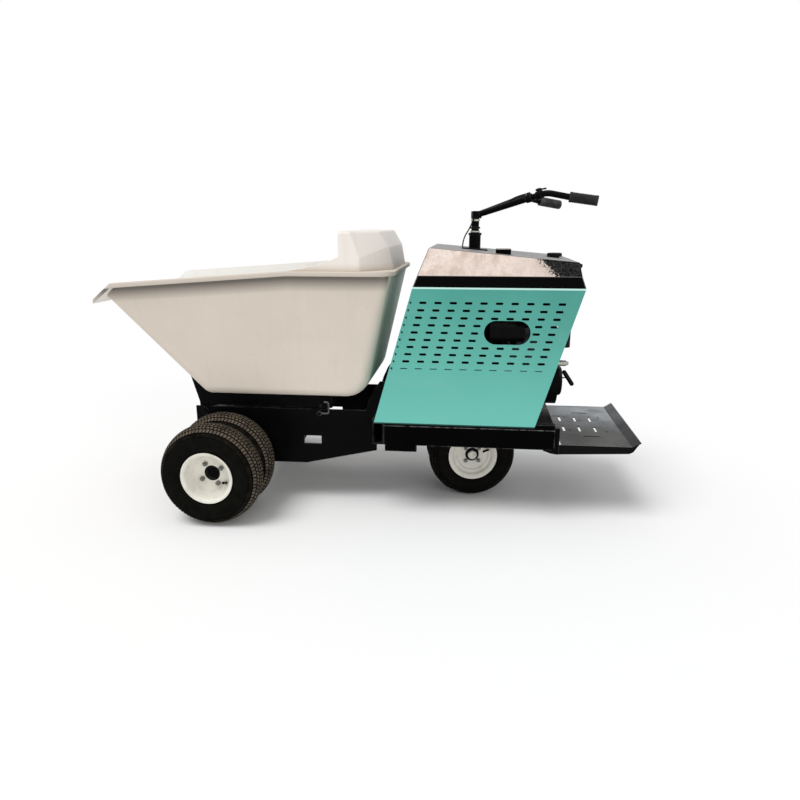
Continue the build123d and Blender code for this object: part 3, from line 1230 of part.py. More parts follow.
def throttle_cable_upper():
    """Cable that leaves the left arm through its wall and bows over it to the front clamp."""
    place, run, up = arm_place(PERCH_SHARES[0], STOP_RISE - CABLE_R)
    crest = arm_place(CABLE_CREST_SHARE, CABLE_CREST_RISE)[0]
    exit_end = arm_place(CABLE_EXIT_SHARE, BAR_R + CABLE_R + CABLE_GAP)[0]
    return cord([place - run * (STOP_R + SIDE_CLEAR), crest, exit_end], CABLE_R)


def throttle_cable_lower():
    """Cable from the cowl, beside the column, up into the underside of the head."""
    turn = Axis((COLUMN_X, 0, 0), (0, 0, 1))
    entry = Vertex(COLUMN_X + CABLE_ENTRY[0], CABLE_ENTRY[1], 0).rotate(turn, STEER_REST)
    foot_x = COLUMN_X - CABLE_FOOT
    points = [(foot_x, 0, cowl_top_z(foot_x) + CABLE_FOOT_RISE)]
    points += [(COLUMN_X + x, y, HEAD_Z + z) for x, y, z in CABLE_VIA]
    points.append((entry.X, entry.Y, HEAD_Z - HEAD_DROP - CABLE_GAP))
    return cord(points, CABLE_R)


# Platform

def platform():
    """Folding platform: plate with slots, side skirts and an upturned rear lip."""
    half, t = PLATFORM_HALF, PLATFORM_T
    top = PLATFORM_TOP_Z
    outline = polygon([
        (PLATFORM_FRONT_X, top), (PLATFORM_FOLD_X, top), (PLATFORM_LIP_X, PLATFORM_LIP_Z),
        (PLATFORM_LIP_X + PLATFORM_LIP_EDGE, PLATFORM_LIP_Z - 4.3), (PLATFORM_FOLD_X + 1.5, top - t),
        (PLATFORM_FRONT_X, top - t),
    ])
    plate = side_prism(outline, -half, half)
    skirt = polygon([
        (SKIRT_FRONT_X, FOLD_PIN_Z), (SKIRT_FRONT_X + 12, FOLD_PIN_Z + 18), (PLATFORM_FRONT_X, top),
        (PLATFORM_FOLD_X, top), (PLATFORM_LIP_X, PLATFORM_LIP_Z), (PLATFORM_FOLD_X + 6, SKIRT_REAR_Z + 8),
        (PLATFORM_FOLD_X - 10, SKIRT_REAR_Z),
        (SKIRT_FRONT_X + 42, SKIRT_LOW_Z), (SKIRT_FRONT_X, FOLD_PIN_Z - 10),
    ])
    for side in SIDES.values():
        y0, y1 = sorted((side * half, side * (half - t)))
        plate += side_prism(skirt, y0, y1)
    cuts = []
    for side in SIDES.values():
        cuts.append(Pos(SIDE_CUT[0], side * SIDE_CUT[1]) * SlotOverall(CUT_L, CUT_W))
        for x in CROSS_CUT_X:
            cuts.append(Pos(x, side * CROSS_CUT_Y) * SlotOverall(CUT_L, CUT_W, rotation=90))
        for x in BOLT_HOLE_X:
            cuts.append(Pos(x, side * BOLT_HOLE_Y) * Circle(BOLT_HOLE_R))
    for cut in cuts:
        plate -= extrude(Plane.XY.offset(top - 3 * t) * cut, amount=4 * t)
    near, far = (FOLD_PIN_X, -half - 1, FOLD_PIN_Z), (FOLD_PIN_X, half + 1, FOLD_PIN_Z)
    return plate - rod(near, far, FOLD_PIN_R + RUN_CLEAR)


def main():
    os.makedirs("parts", exist_ok=True)
    write("tub", tub())
    write("tub_cradle", cradle())
    write("latch_hook", latch_hook())
    write("front_cross_tube", front_tube())
    write("mid_cross_tube", cross_tube(*MID_TUBE_X, *MID_TUBE_Z, SIDE_Y - PLATE_T, TRANSOM_WALL))
    write("hinge_shaft", hinge_shaft())
    write("transom", transom())
    write("engine_deck", deck())
    write("rear_bar", rear_bar())
    write("bulkhead", bulkhead())
    write("noise_lining", noise_lining())
    write("rear_screen", rear_screen())
    write("cowl", cowl())
    write("column_sleeve", column_sleeve())
    write("fuel_tank", fuel_tank())
    write("fuel_cap", fuel_cap())
    write("cowl_latch_lever", cowl_latch_lever())
    write("crankcase", crankcase())
    write("engine_cylinder", engine_cylinder())
    write("recoil_housing", recoil_housing())
    write("starter_grip", starter_grip())
    write("starter_rope", starter_rope())
    write("muffler", muffler())
    write("air_cleaner", air_cleaner())
    write("pump", pump())
    write("hydraulic_tank", hydraulic_tank())
    write("bearing_housing", bearing_housing())
    write("steering_shaft", steered(steering_shaft()))
    write("steering_head", steered(steering_head()))
    write("rear_axle", steered(rear_axle()))
    write("throttle_lever", steered(throttle_lever()))
    write("throttle_cable_upper", steered(throttle_cable_upper()))
    write("throttle_cable_lower", throttle_cable_lower())
    write("platform", platform())
    for name, side in SIDES.items():
        write(f"side_plate_{name}", side_plate(side))
        write(f"rear_rail_{name}", rear_rail(side))
        write(f"side_panel_{name}", side_panel(side))
        write(f"wheel_motor_{name}", wheel_motor(side))
        write(f"front_hub_{name}", front_hub(side))
        for place, y in (("outer", FRONT_OUTER_Y), ("inner", FRONT_OUTER_Y - DUAL_PITCH)):
            write(f"front_rim_{place}_{name}", front_rim(side, y))
            write(f"front_tyre_{place}_{name}", front_tyre(side, y))
        write(f"rear_rim_{name}", steered(rear_rim(side)))
        write(f"rear_tyre_{name}", steered(rear_tyre(side)))
        write(f"handlebar_{name}", steered(handlebar(side)))
        write(f"grip_{name}", steered(grip(side)))


if __name__ == "__main__":
    main()
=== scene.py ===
import json
import math

import bmesh
import bpy
from bpy.props import FloatProperty, FloatVectorProperty, IntProperty, PointerProperty
from mathutils import Matrix, Vector


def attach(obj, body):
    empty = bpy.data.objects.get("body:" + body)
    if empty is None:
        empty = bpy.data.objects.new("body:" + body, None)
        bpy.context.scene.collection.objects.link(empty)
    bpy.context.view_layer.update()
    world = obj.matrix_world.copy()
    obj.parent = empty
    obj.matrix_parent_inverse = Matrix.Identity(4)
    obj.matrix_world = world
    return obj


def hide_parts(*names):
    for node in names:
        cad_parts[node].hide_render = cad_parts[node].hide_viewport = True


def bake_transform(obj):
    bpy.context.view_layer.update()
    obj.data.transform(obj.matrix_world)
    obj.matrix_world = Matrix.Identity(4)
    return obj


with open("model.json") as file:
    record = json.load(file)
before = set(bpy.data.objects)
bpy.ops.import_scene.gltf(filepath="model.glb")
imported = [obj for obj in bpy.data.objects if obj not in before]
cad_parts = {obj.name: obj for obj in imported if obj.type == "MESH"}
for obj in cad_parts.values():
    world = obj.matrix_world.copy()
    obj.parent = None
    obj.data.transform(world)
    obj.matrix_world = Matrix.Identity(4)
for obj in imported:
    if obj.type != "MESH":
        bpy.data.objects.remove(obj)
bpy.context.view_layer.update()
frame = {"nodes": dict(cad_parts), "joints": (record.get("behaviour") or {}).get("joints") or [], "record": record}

bl_info = {
    "name": "Power buggy dressing",
    "version": (1, 0, 0),
    "blender": (4, 5, 0),
    "location": "View3D > Sidebar > Buggy",
    "description": "Tyres, rims, fittings, cables, finishes and stage for a ride-on power buggy",
    "category": "Object",
}

JOINTS = {joint["name"]: joint for joint in frame["joints"]}
NODES = frame["nodes"]
FRONT_AXLE = Vector(JOINTS["front_drive_left"]["pos_m"])
COLUMN = Vector(JOINTS["steer"]["pos_m"])
ROLL_AXIS = JOINTS["rear_roll_left"]["axis"]
STEER_ANGLE = math.atan2(-ROLL_AXIS[0], ROLL_AXIS[1])
SIDES = {"left": -1.0, "right": 1.0}
TAU = 2 * math.pi
DUAL_PITCH = 0.173
REAR_WHEEL_Y = 0.088
HEAD = Vector((COLUMN.x, 0.0, 1.32206))
STAND_UP = Matrix.Rotation(math.pi / 2, 4, "X")


def place(x, y, z):
    """Point given from the front axle's line, in the shared frame."""
    return Vector((FRONT_AXLE.x + x, y, z))


# Sizes and colours

def colour(title, default):
    """Colour setting with its default."""
    return FloatVectorProperty(
        name=title, description=f"{title} of the finish", subtype="COLOR", size=3, min=0.0, max=1.0,
        default=default,
    )


def length(title, default):
    """Length setting in metres with its default."""
    return FloatProperty(
        name=title, description=f"{title} in metres", subtype="DISTANCE", unit="LENGTH", default=default
    )


class BuggyFinish(bpy.types.PropertyGroup):
    """Colours of the paint, plastic, rubber and metal."""

    tub: colour("Tub plastic", (0.70, 0.622, 0.540))
    # Painted light: the hood is the tub's own plastic, given this lighter colour because it is lit more
    hood: colour("Splash hood plastic", (0.84, 0.79, 0.735))
    teal: colour("Panel paint", (0.066, 0.310, 0.258))
    # Painted light: the panel paint made lighter near the ground, standing in for light bounced from the floor
    teal_floor_lit: colour("Panel paint near the ground", (0.152, 0.520, 0.448))
    black: colour("Black paint", (0.0020, 0.0020, 0.0022))
    # Colour of the painted reflection on the cowl's side facets
    film: colour("Cowl dust", (0.80, 0.68, 0.61))
    roof: colour("Cowl top haze", (0.36, 0.36, 0.36))
    cream: colour("Rim paint", (0.78, 0.76, 0.68))
    rubber: colour("Tyre rubber", (0.0022, 0.0025, 0.0020))
    dust: colour("Tread dust", (0.115, 0.093, 0.069))
    zinc: colour("Zinc plating", (0.52, 0.52, 0.46))
    alloy: colour("Cast alloy", (0.36, 0.36, 0.36))


class BuggyTyres(bpy.types.PropertyGroup):
    """Sizes of the tyres and their tread."""

    front_radius: length("Front tyre radius", 0.225)
    front_half: length("Front tyre half width", 0.0815)
    front_rim_half: length("Front rim half width", 0.072)
    rear_radius: length("Rear tyre radius", 0.207)
    rear_half: length("Rear tyre half width", 0.061)
    rear_rim_half: length("Rear rim half width", 0.054)
    block_height: length("Tread block height", 0.005)
    block_taper: length("Tread block taper", 0.0009)
    lug_height: length("Shoulder lug height", 0.0038)
    blocks: IntProperty(name="Blocks", description="Tread blocks round a tyre", default=84, min=12, max=90)


class BuggyFittings(bpy.types.PropertyGroup):
    """Sizes of the small fittings."""

    front_nut: length("Front wheel nut corner radius", 0.0112)
    rear_nut: length("Rear wheel nut corner radius", 0.0097)
    stud: length("Wheel stud radius", 0.006)
    cradle_bolt: length("Cradle bolt corner radius", 0.0100)
    rivet: length("Panel rivet radius", 0.0042)
    cable: length("Throttle cable radius", 0.003)
    rope: length("Starter rope radius", 0.003)
    grip: length("Handlebar grip radius", 0.0215)


class BuggyStage(bpy.types.PropertyGroup):
    """Camera, floor and light."""

    camera_place: FloatVectorProperty(
        name="Camera", description="Camera position", subtype="TRANSLATION", size=3,
        default=(0.45314, -3.15619, 1.28352),
    )
    camera_turn: FloatVectorProperty(
        name="Turn", description="Camera rotation", subtype="EULER", size=3,
        default=(math.pi / 2 - 0.260347, 0.0, 0.109781),
    )
    lens: FloatProperty(name="Lens", description="Focal length in millimetres", default=29.826)
    floor_size: length("Floor size", 60.0)
    sky: FloatProperty(name="Sky", description="Strength of the even light from all round", default=0.545)
    sun: FloatProperty(name="Sun", description="Strength of the soft light from above", default=1.6)
    sun_aim: FloatVectorProperty(
        name="Sun direction", description="Where the soft light shines to", subtype="DIRECTION", size=3,
        default=(0.33, 0.33, -0.88),
    )
    fill: FloatProperty(
        name="Fill", description="Strength of the soft light from the near rear side", default=0.4
    )
    fill_aim: FloatVectorProperty(
        name="Fill direction", description="Where the fill light shines to", subtype="DIRECTION", size=3,
        default=(-0.62, 0.72, -0.30),
    )


# Finishes

DUST = (0.22, 0.20, 0.175)
BARE_STEEL_AND_HIGHLIGHT = (0.20, 0.20, 0.20)
HOOD_FOLD_HIGHLIGHT = (0.96, 0.94, 0.91)
TUB_INSIDE_LIT = (0.92, 0.91, 0.87)
COWL_SPECK = (0.20, 0.20, 0.205)
COWL_FOLD = (0.36, 0.34, 0.32)
COWL_REFLECTION_STREAK = (0.70, 0.64, 0.60)
COWL_GRIT = (0.50, 0.44, 0.40)
PLATFORM_WORN = (0.115, 0.113, 0.106)
PLATFORM_REFLECTION = (0.52, 0.56, 0.60)
PLATFORM_SCRATCH = (0.30, 0.30, 0.30)
PLATFORM_CHIP = (0.58, 0.58, 0.56)
PANEL_SMEAR = (0.42, 0.52, 0.48)
PANEL_EDGE_HIGHLIGHT = (0.58, 0.86, 0.80)
PLASTIC_DUST = (0.2, 0.19, 0.175)
LATCH_WIRE = (0.10, 0.10, 0.095)
GRIP_DUST = (0.045, 0.045, 0.045)
GRIP_HEAVY_DUST = (0.11, 0.11, 0.11)
CABLE_DUST = (0.05, 0.045, 0.04)
ROPE_CORE = (0.05, 0.05, 0.05)
ROPE_FLUFF = (0.2, 0.2, 0.2)

# Where the finishes change; a pair runs from the start of the change to its end
TUB_RIM_Z = 1.070
TUB_RIM_KINK_X = -0.33525
TUB_RIM_SLOPE = 0.0733
HOOD_FOOT_Z = (1.092, 1.120)
TUB_MIDDLE_X = (-0.60, -0.50)
TUB_FLOOR_Z = (1.00, 1.03)
TUB_LOW_LIT_Z = (0.50, 0.80)
COWL_REAR_X = (0.56, 0.74)
COWL_LINE_SLANT = 1.19
COWL_LINE = (2.058, 2.082)
COWL_SLOPE = 0.0887
COWL_TOP = (1.2095, 1.2115)
PLATFORM_CREASE_X = 1.1567
PLATFORM_SLANT = 0.35
PLATFORM_FAR = (0.22, 0.62)
PLATFORM_FRONT_X = (0.89, 0.98)
PANEL_X = (0.25, 0.90)
PANEL_Z = (0.46, 1.02)
PANEL_FOOT_SHADOW_Z = (0.4360, 0.4375)
PANEL_TOP_HIGHLIGHT_Z = (1.0200, 1.0215)
RAIL_HIGHLIGHT_Z = 0.4215


def shade(rgb, factor):
    """A colour made lighter or darker."""
    return tuple(min(1.0, channel * factor) for channel in rgb)


def tinted(rgb, shares):
    """A colour with each channel taken down by its own share."""
    return tuple(channel * share for channel, share in zip(rgb, shares))


def feed(source, socket):
    """Gives a socket a link, a colour or a value."""
    if isinstance(source, bpy.types.NodeSocket):
        socket.id_data.links.new(source, socket)
    else:
        socket.default_value = (*source, 1.0) if socket.type == "RGBA" else source


def new_node(tree, kind, sources, **settings):
    """Node of a kind, with its settings and what its sockets are given."""
    node = tree.nodes.new(f"ShaderNode{kind}")
    for name, setting in settings.items():
        setattr(node, name, setting)
    for socket, source in sources.items():
        feed(source, node.inputs[socket])
    return node


def ramp(value, low, high, first=0.0, last=1.0):
    """A value's range mapped to another one."""
    sources = {"Value": value, "From Min": low, "From Max": high, "To Min": first, "To Max": last}
    return new_node(value.id_data, "MapRange", sources).outputs["Result"]


def fall(value, low, high, first=1.0):
    """A value's range mapped to one that falls to 0."""
    return ramp(value, low, high, first, 0.0)


def sum_up(operation, first, *others):
    """Result of a simple operation on values, taken in turn."""
    for other in others:
        node = new_node(first.id_data, "Math", {0: first, 1: other}, operation=operation)
        first = node.outputs["Value"]
    return first


def times(*values):
    """Values multiplied."""
    return sum_up("MULTIPLY", *values)


def add(*values):
    """Values added."""
    return sum_up("ADD", *values)


def most(*values):
    """The largest of some values."""
    return sum_up("MAXIMUM", *values)


def away(value, line):
    """Distance of a value from a line."""
    return sum_up("ABSOLUTE", sum_up("SUBTRACT", value, line), 0.0)


def mix(share, first, second):
    """Mix of two colours."""
    sources = {"Factor": share, 6: first, 7: second}
    return new_node(share.id_data, "Mix", sources, data_type="RGBA").outputs[2]


class Finish:
    """A material in the making: its nodes, its surface shader and the places that it reads."""

    def __init__(self, name, specular):
        self.material = bpy.data.materials.new(name)
        self.material.use_nodes = True
        self.tree = self.material.node_tree
        self.surface = self.tree.nodes["Principled BSDF"]
        self.surface.inputs["Specular IOR Level"].default_value = specular
        self.coords = self.tree.nodes.new("ShaderNodeTexCoord")

    def noise(self, scale, detail=4.0, rough=0.55, stretch=(1.0, 1.0, 1.0)):
        """Noise of a given scale, drawn out along the axes."""
        mapping = new_node(self.tree, "Mapping", {"Vector": self.coords.outputs["Object"], "Scale": stretch})
        sources = {"Vector": mapping.outputs["Vector"], "Scale": scale, "Detail": detail, "Roughness": rough}
        return new_node(self.tree, "TexNoise", sources).outputs["Fac"]

    def cloud(self, scale, low=0.3, high=0.7, first=0.0, last=1.0, **kind):
        """Patches of noise, from one level to another."""
        return ramp(self.noise(scale, **kind), low, high, first, last)

    def at(self, letter, kind="Object"):
        """Place along an axis."""
        return new_node(self.tree, "SeparateXYZ", {"Vector": self.coords.outputs[kind]}).outputs[letter]

    def facing(self, letter):
        """How far the surface faces along an axis."""
        return self.at(letter, "Normal")

    def upward(self, low=0.3, high=0.95):
        """How far the surface faces up, from 0 to 1."""
        return ramp(self.facing("Z"), low, high)

    def edges(self, radius, low=0.004, high=0.05):
        """Narrow bands along the sharp edges, from 0 to 1."""
        bevel = new_node(self.tree, "Bevel", {"Radius": radius}, samples=6)
        geometry = new_node(self.tree, "NewGeometry", {})
        sources = {0: bevel.outputs["Normal"], 1: geometry.outputs["Normal"]}
        alike = new_node(self.tree, "VectorMath", sources, operation="DOT_PRODUCT")
        return fall(alike.outputs["Value"], 1.0 - high, 1.0 - low)

    def paint(self, base, rough):
        """Sets the colour and the roughness."""
        feed(base, self.surface.inputs["Base Color"])
        feed(rough, self.surface.inputs["Roughness"])

    def relief(self, scale, detail, strength, distance):
        """Fine relief from noise; gives the finished material."""
        sources = {"Height": self.noise(scale, detail), "Strength": strength, "Distance": distance}
        feed(new_node(self.tree, "Bump", sources).outputs["Normal"], self.surface.inputs["Normal"])
        return self.material


def moulded_plastic(name, rgb, lit_hood_rgb):
    """Matt plastic: cloudy, with painted light that makes it pale inside, lower down and on the hood, a painted
    shade on the hood's front face, painted highlights along the hood's folds, a painted shadow under the rim, runs
    and splashes.
    """
    coat = Finish(name, 0.35)
    x, y, z = (coat.at(letter) for letter in "XYZ")
    along = coat.facing("X")
    ahead = fall(along, -0.85, -0.55)
    across = times(y, coat.facing("Y"))
    outside = ramp(across, 0.08, 0.16)

    # Painted shade: the hood's front face is painted darker
    hood_front_shaded = mix(ahead, lit_hood_rgb, shade(lit_hood_rgb, 0.80))
    # Painted highlight: light bands along the hood's folds
    hood = mix(times(coat.edges(0.006), 0.8), hood_front_shaded, HOOD_FOLD_HIGHLIGHT)

    # Painted light: the inner side walls, the inner front and rear walls and the floor are painted paler, as if
    # lit
    front = times(ramp(along, 0.35, 0.75), fall(x, *TUB_MIDDLE_X))
    back = times(ahead, ramp(x, *TUB_MIDDLE_X))
    bottom = times(coat.upward(0.5, 0.8), fall(z, *TUB_FLOOR_Z))
    inside = most(fall(across, -0.16, -0.08), front, bottom, back)

    cloudy = mix(coat.cloud(2.6), shade(rgb, 0.95), shade(rgb, 1.04))
    # Painted light: the walls are painted lighter towards the bottom, standing in for light bounced up from the
    # floor
    body = mix(ramp(z, *TUB_LOW_LIT_Z), shade(rgb, 1.14), cloudy)
    base = mix(ramp(z, *HOOD_FOOT_Z), mix(inside, body, TUB_INSIDE_LIT), hood)
    streaks = coat.cloud(1.6, 0.55, 0.82, 0.0, 0.22, detail=5.0, rough=0.6, stretch=(14.0, 14.0, 1.2))
    stained = mix(streaks, base, shade(rgb, 0.76))

    before = sum_up("MINIMUM", add(x, -TUB_RIM_KINK_X), 0.0)
    line = add(times(before, TUB_RIM_SLOPE), TUB_RIM_Z)
    below = sum_up("SUBTRACT", line, z)
    rim = times(ramp(below, -0.024, -0.022), fall(below, -0.002, 0.0))
    edged = mix(times(rim, outside), stained, shade(rgb, 0.84))
    # Painted shadow: a dark band just under the rim, where its overhang shades the wall
    rim_shadow = times(ramp(below, -0.001, 0.002), fall(below, 0.010, 0.066, 0.95))
    rim_shadowed = mix(times(rim_shadow, outside), edged, shade(rgb, 0.18))
    splashes = coat.cloud(48.0, 0.70, 0.74, 0.0, 0.25, detail=3.0, rough=0.5)
    coat.paint(mix(splashes, rim_shadowed, shade(rgb, 0.62)), coat.cloud(18.0, 0.3, 0.7, 0.42, 0.58))
    return coat.relief(420.0, 2.0, 0.12, 0.0006)


def black_paint(name, rgb, specular, worn_share, highlight_z=None):
    """Black paint with dust on the faces that look up, scuffs, paler worn edges and perhaps a painted highlight
    line along an edge, broken into chips.
    """
    coat = Finish(name, specular)
    base = mix(coat.cloud(3.5), shade(rgb, 0.8), shade(rgb, 1.3))
    patches = coat.cloud(7.0, 0.40, 0.75, 0.0, 0.12, detail=8.0, rough=0.65)
    dust_and_reflection = mix(times(coat.upward(), patches), base, DUST)
    scuffs = coat.cloud(3.0, 0.66, 0.82, 0.0, 0.05, detail=6.0, rough=0.7, stretch=(30.0, 30.0, 4.0))
    scuffed = mix(scuffs, dust_and_reflection, DUST)
    chips = coat.cloud(26.0, 0.38, 0.62, 0.0, worn_share, detail=5.0, rough=0.6)
    base = mix(times(coat.edges(0.0035), chips), scuffed, BARE_STEEL_AND_HIGHLIGHT)
    # Painted highlight: a light line along an edge at a given height, broken into chips
    if highlight_z:
        line = fall(away(coat.at("Z"), highlight_z), 0.0014, 0.0022)
        base = mix(times(line, chips), base, BARE_STEEL_AND_HIGHLIGHT)
    coat.paint(base, coat.cloud(24.0, 0.3, 0.75, 0.24, 0.46, detail=6.0))
    return coat.relief(160.0, 3.0, 0.06, 0.0004)


def cowl_paint(name, rgb, reflection_rgb, roof_rgb):
    """Black cowl: a painted reflection of light surroundings on the side facets before a slanting line, dust
    specks behind it, a hazy top and dark sides.
    """
    coat = Finish(name, 0.02)
    x, z, up = coat.at("X"), coat.at("Z"), coat.facing("Z")
    across = away(coat.facing("Y"), 0.0)
    flank = times(ramp(across, 0.55, 0.7), ramp(up, 0.3, 0.5))
    specks = coat.cloud(170.0, 0.44, 0.66, 0.0, 0.26, rough=0.7)
    black = mix(times(flank, specks), rgb, COWL_SPECK)

    # Painted reflection: light surroundings mirrored on the side facets, with streaks and grit, ending at a
    # slanting line where a dark thing is mirrored
    mottle = coat.cloud(8.0, 0.34, 0.68, detail=8.0, rough=0.68)
    clouded = mix(mottle, shade(reflection_rgb, 1.10), shade(reflection_rgb, 0.80))
    streaks = coat.cloud(3.4, 0.46, 0.68, 0.0, 0.75, detail=5.0, rough=0.6, stretch=(7.0, 7.0, 0.9))
    streaked = mix(streaks, clouded, tinted(reflection_rgb, COWL_REFLECTION_STREAK))
    toned = mix(ramp(x, *COWL_REAR_X, 0.0, 0.55), streaked, shade(reflection_rgb, 0.72))
    grit = coat.cloud(90.0, 0.50, 0.68, 0.0, 0.26, detail=6.0, rough=0.7)
    film = mix(grit, toned, tinted(reflection_rgb, COWL_GRIT))

    wobble = coat.cloud(9.0, 0.3, 0.7, -0.012, 0.012, detail=5.0)
    grain = coat.cloud(120.0, 0.3, 0.7, -0.03, 0.03, detail=3.0)
    ahead = fall(add(x, times(z, COWL_LINE_SLANT), wobble, grain), *COWL_LINE)
    dust_and_reflection = mix(times(flank, ahead, 0.97), black, film)
    leaning = times(ramp(up, 0.10, 0.22), fall(up, 0.36, 0.46))
    fold = times(leaning, ramp(across, 0.6, 0.8), 0.55)
    lined = mix(fold, dust_and_reflection, COWL_FOLD)

    low = fall(add(z, times(x, COWL_SLOPE)), *COWL_TOP)
    haze = coat.cloud(3.0, 0.3, 0.7, 0.72, 1.0, detail=6.0, rough=0.6)
    roof = times(ramp(up, 0.9, 0.97), low, haze)
    rough = ramp(most(flank, roof), 0.0, 1.0, 0.24, 0.5)
    coat.paint(mix(roof, lined, roof_rgb), rough)
    return coat.relief(160.0, 3.0, 0.05, 0.0004)


def platform_paint(name, rgb):
    """Black platform: worn grey patches, a painted reflection that pales the far side with dark bands across it, a
    darker lip with a painted shade along its crease, and bare chipped edges.
    """
    coat = Finish(name, 0.07)
    x, y = coat.at("X"), coat.at("Y")
    top = coat.upward(0.6, 0.95)
    patches = coat.cloud(6.0, 0.36, 0.66, detail=8.0, rough=0.68)
    worn = mix(times(top, patches), rgb, PLATFORM_WORN)
    # Painted reflection: the far side of the glossy top is painted paler, broken by dark bands
    haze = coat.cloud(3.6, 0.34, 0.62, 0.15, 1.0, detail=7.0, rough=0.62)
    far = ramp(add(y, times(x, PLATFORM_SLANT)), *PLATFORM_FAR)
    reflecting = mix(times(top, far, haze), worn, PLATFORM_REFLECTION)
    dark_bands = coat.cloud(5.0, 0.50, 0.72, 0.0, 0.85, detail=7.0, rough=0.66, stretch=(1.0, 1.6, 1.0))
    darkened = mix(dark_bands, reflecting, shade(rgb, 2.0))
    scratches = coat.cloud(8.0, 0.60, 0.70, 0.0, 0.28, detail=5.0, rough=0.6, stretch=(5.0, 46.0, 5.0))
    scuffed = mix(times(top, scratches), darkened, PLATFORM_SCRATCH)
    # The upturned lip is painted darker, with less of the painted reflection; painted shade: a dark line along its
    # crease
    lip_darkened = mix(ramp(x, PLATFORM_CREASE_X, PLATFORM_CREASE_X + 0.003, 0.0, 0.6), scuffed, rgb)
    crease_shade = fall(away(x, PLATFORM_CREASE_X), 0.002, 0.005, 0.85)
    crease_shaded = mix(crease_shade, lip_darkened, rgb)
    chips = coat.cloud(34.0, 0.30, 0.52, 0.0, 0.85, detail=5.0, rough=0.6)
    front = ramp(x, *PLATFORM_FRONT_X, 1.0, 0.45)
    bare = times(coat.edges(0.004), chips, front, top)
    rough = coat.cloud(12.0, 0.3, 0.7, 0.20, 0.44, detail=6.0)
    coat.paint(mix(bare, crease_shaded, PLATFORM_CHIP), rough)
    return coat.relief(90.0, 4.0, 0.08, 0.0006)


def panel_paint(name, rgb, floor_lit_rgb):
    """Teal sheet paint with painted light that makes it lighter downwards and painted shade that darkens its upper
    rear, a painted highlight along the top edge, a painted shadow in the lower band, and dusty smears.
    """
    coat = Finish(name, 0.16)
    z = coat.at("Z")
    # Painted light and shade: lighter towards the bottom, as from the floor's bounce, and the upper part darker
    # towards the rear
    upper_shading = mix(ramp(coat.at("X"), *PANEL_X), shade(rgb, 1.06), shade(rgb, 0.88))
    floor_lit_fade = mix(ramp(z, *PANEL_Z), floor_lit_rgb, upper_shading)
    base = mix(coat.cloud(3.0, 0.3, 0.7, 0.0, 0.25, detail=5.0), floor_lit_fade, floor_lit_rgb)
    smears = coat.cloud(2.2, 0.56, 0.82, 0.0, 0.14, detail=7.0, rough=0.66, stretch=(1.0, 1.0, 2.4))
    smeared = mix(smears, base, PANEL_SMEAR)
    # Painted shadow: a dark band along the panel's lower edge
    foot_shadowed = mix(fall(z, *PANEL_FOOT_SHADOW_Z, 0.95), smeared, shade(rgb, 0.08))
    # Painted highlight: a light line along the panel's top edge
    top_highlighted = mix(ramp(z, *PANEL_TOP_HIGHLIGHT_Z, 0.0, 0.92), foot_shadowed, PANEL_EDGE_HIGHLIGHT)
    coat.paint(top_highlighted, coat.cloud(20.0, 0.3, 0.7, 0.34, 0.50, detail=5.0))
    return coat.relief(120.0, 3.0, 0.05, 0.0004)


def rim_paint(name, rgb, dust_rgb):
    """Cream rim paint with mud specks and a dirty film."""
    coat = Finish(name, 0.3)
    base = mix(coat.cloud(12.0, detail=5.0), shade(rgb, 0.93), shade(rgb, 1.04))
    film = coat.cloud(22.0, 0.52, 0.78, 0.0, 0.4, detail=7.0, rough=0.65)
    dirty = mix(film, base, dust_rgb)
    specks = coat.cloud(130.0, 0.70, 0.74, 0.0, 0.5, detail=3.0)
    rough = coat.cloud(30.0, 0.3, 0.7, 0.32, 0.52, detail=5.0)
    coat.paint(mix(specks, dirty, shade(dust_rgb, 0.3)), rough)
    return coat.relief(200.0, 3.0, 0.06, 0.0004)


def rubber(name, rgb, dust_rgb, dust_share, specular=0.03):
    """Rubber under a broken film of dust."""
    coat = Finish(name, specular)
    film = coat.cloud(26.0, 0.36, 0.66, 0.0, dust_share, detail=8.0, rough=0.66)
    coat.paint(mix(film, rgb, dust_rgb), coat.cloud(60.0, 0.3, 0.7, 0.5, 0.75))
    return coat.relief(300.0, 4.0, 0.2, 0.0006)


def tread_top(name, rgb, dust_rgb):
    """Tread face worn pale brown, with dark scuffs."""
    coat = Finish(name, 0.12)
    wear = coat.cloud(55.0, 0.34, 0.62, detail=6.0, rough=0.62)
    worn = mix(wear, shade(dust_rgb, 0.55), shade(dust_rgb, 1.15))
    dark = coat.cloud(16.0, 0.52, 0.72, 0.0, 0.7, detail=5.0)
    coat.paint(mix(dark, worn, shade(rgb, 3.0)), 0.85)
    return coat.relief(260.0, 4.0, 0.3, 0.0008)


def plain_metal(name, rgb, rough, grain):
    """Bare or plated metal with a cloudy polish."""
    coat = Finish(name, 0.5)
    clouds = coat.cloud(grain, detail=6.0)
    polish = ramp(clouds, 0.0, 1.0, rough - 0.1, rough + 0.15)
    coat.paint(mix(clouds, shade(rgb, 0.7), shade(rgb, 1.1)), polish)
    coat.surface.inputs["Metallic"].default_value = 0.85
    return coat.relief(grain * 14.0, 3.0, 0.1, 0.0003)


def dark_plastic(name, rgb, specular):
    """Dull black plastic with a moulded grain and a little dust on top."""
    coat = Finish(name, specular)
    tone = coat.cloud(30.0)
    base = mix(tone, shade(rgb, 0.8), shade(rgb, 1.5))
    dust = times(coat.upward(), coat.cloud(18.0, 0.4, 0.7, 0.0, 0.22, detail=6.0))
    coat.paint(mix(dust, base, PLASTIC_DUST), ramp(tone, 0.0, 1.0, 0.42, 0.6))
    return coat.relief(700.0, 2.0, 0.15, 0.0004)


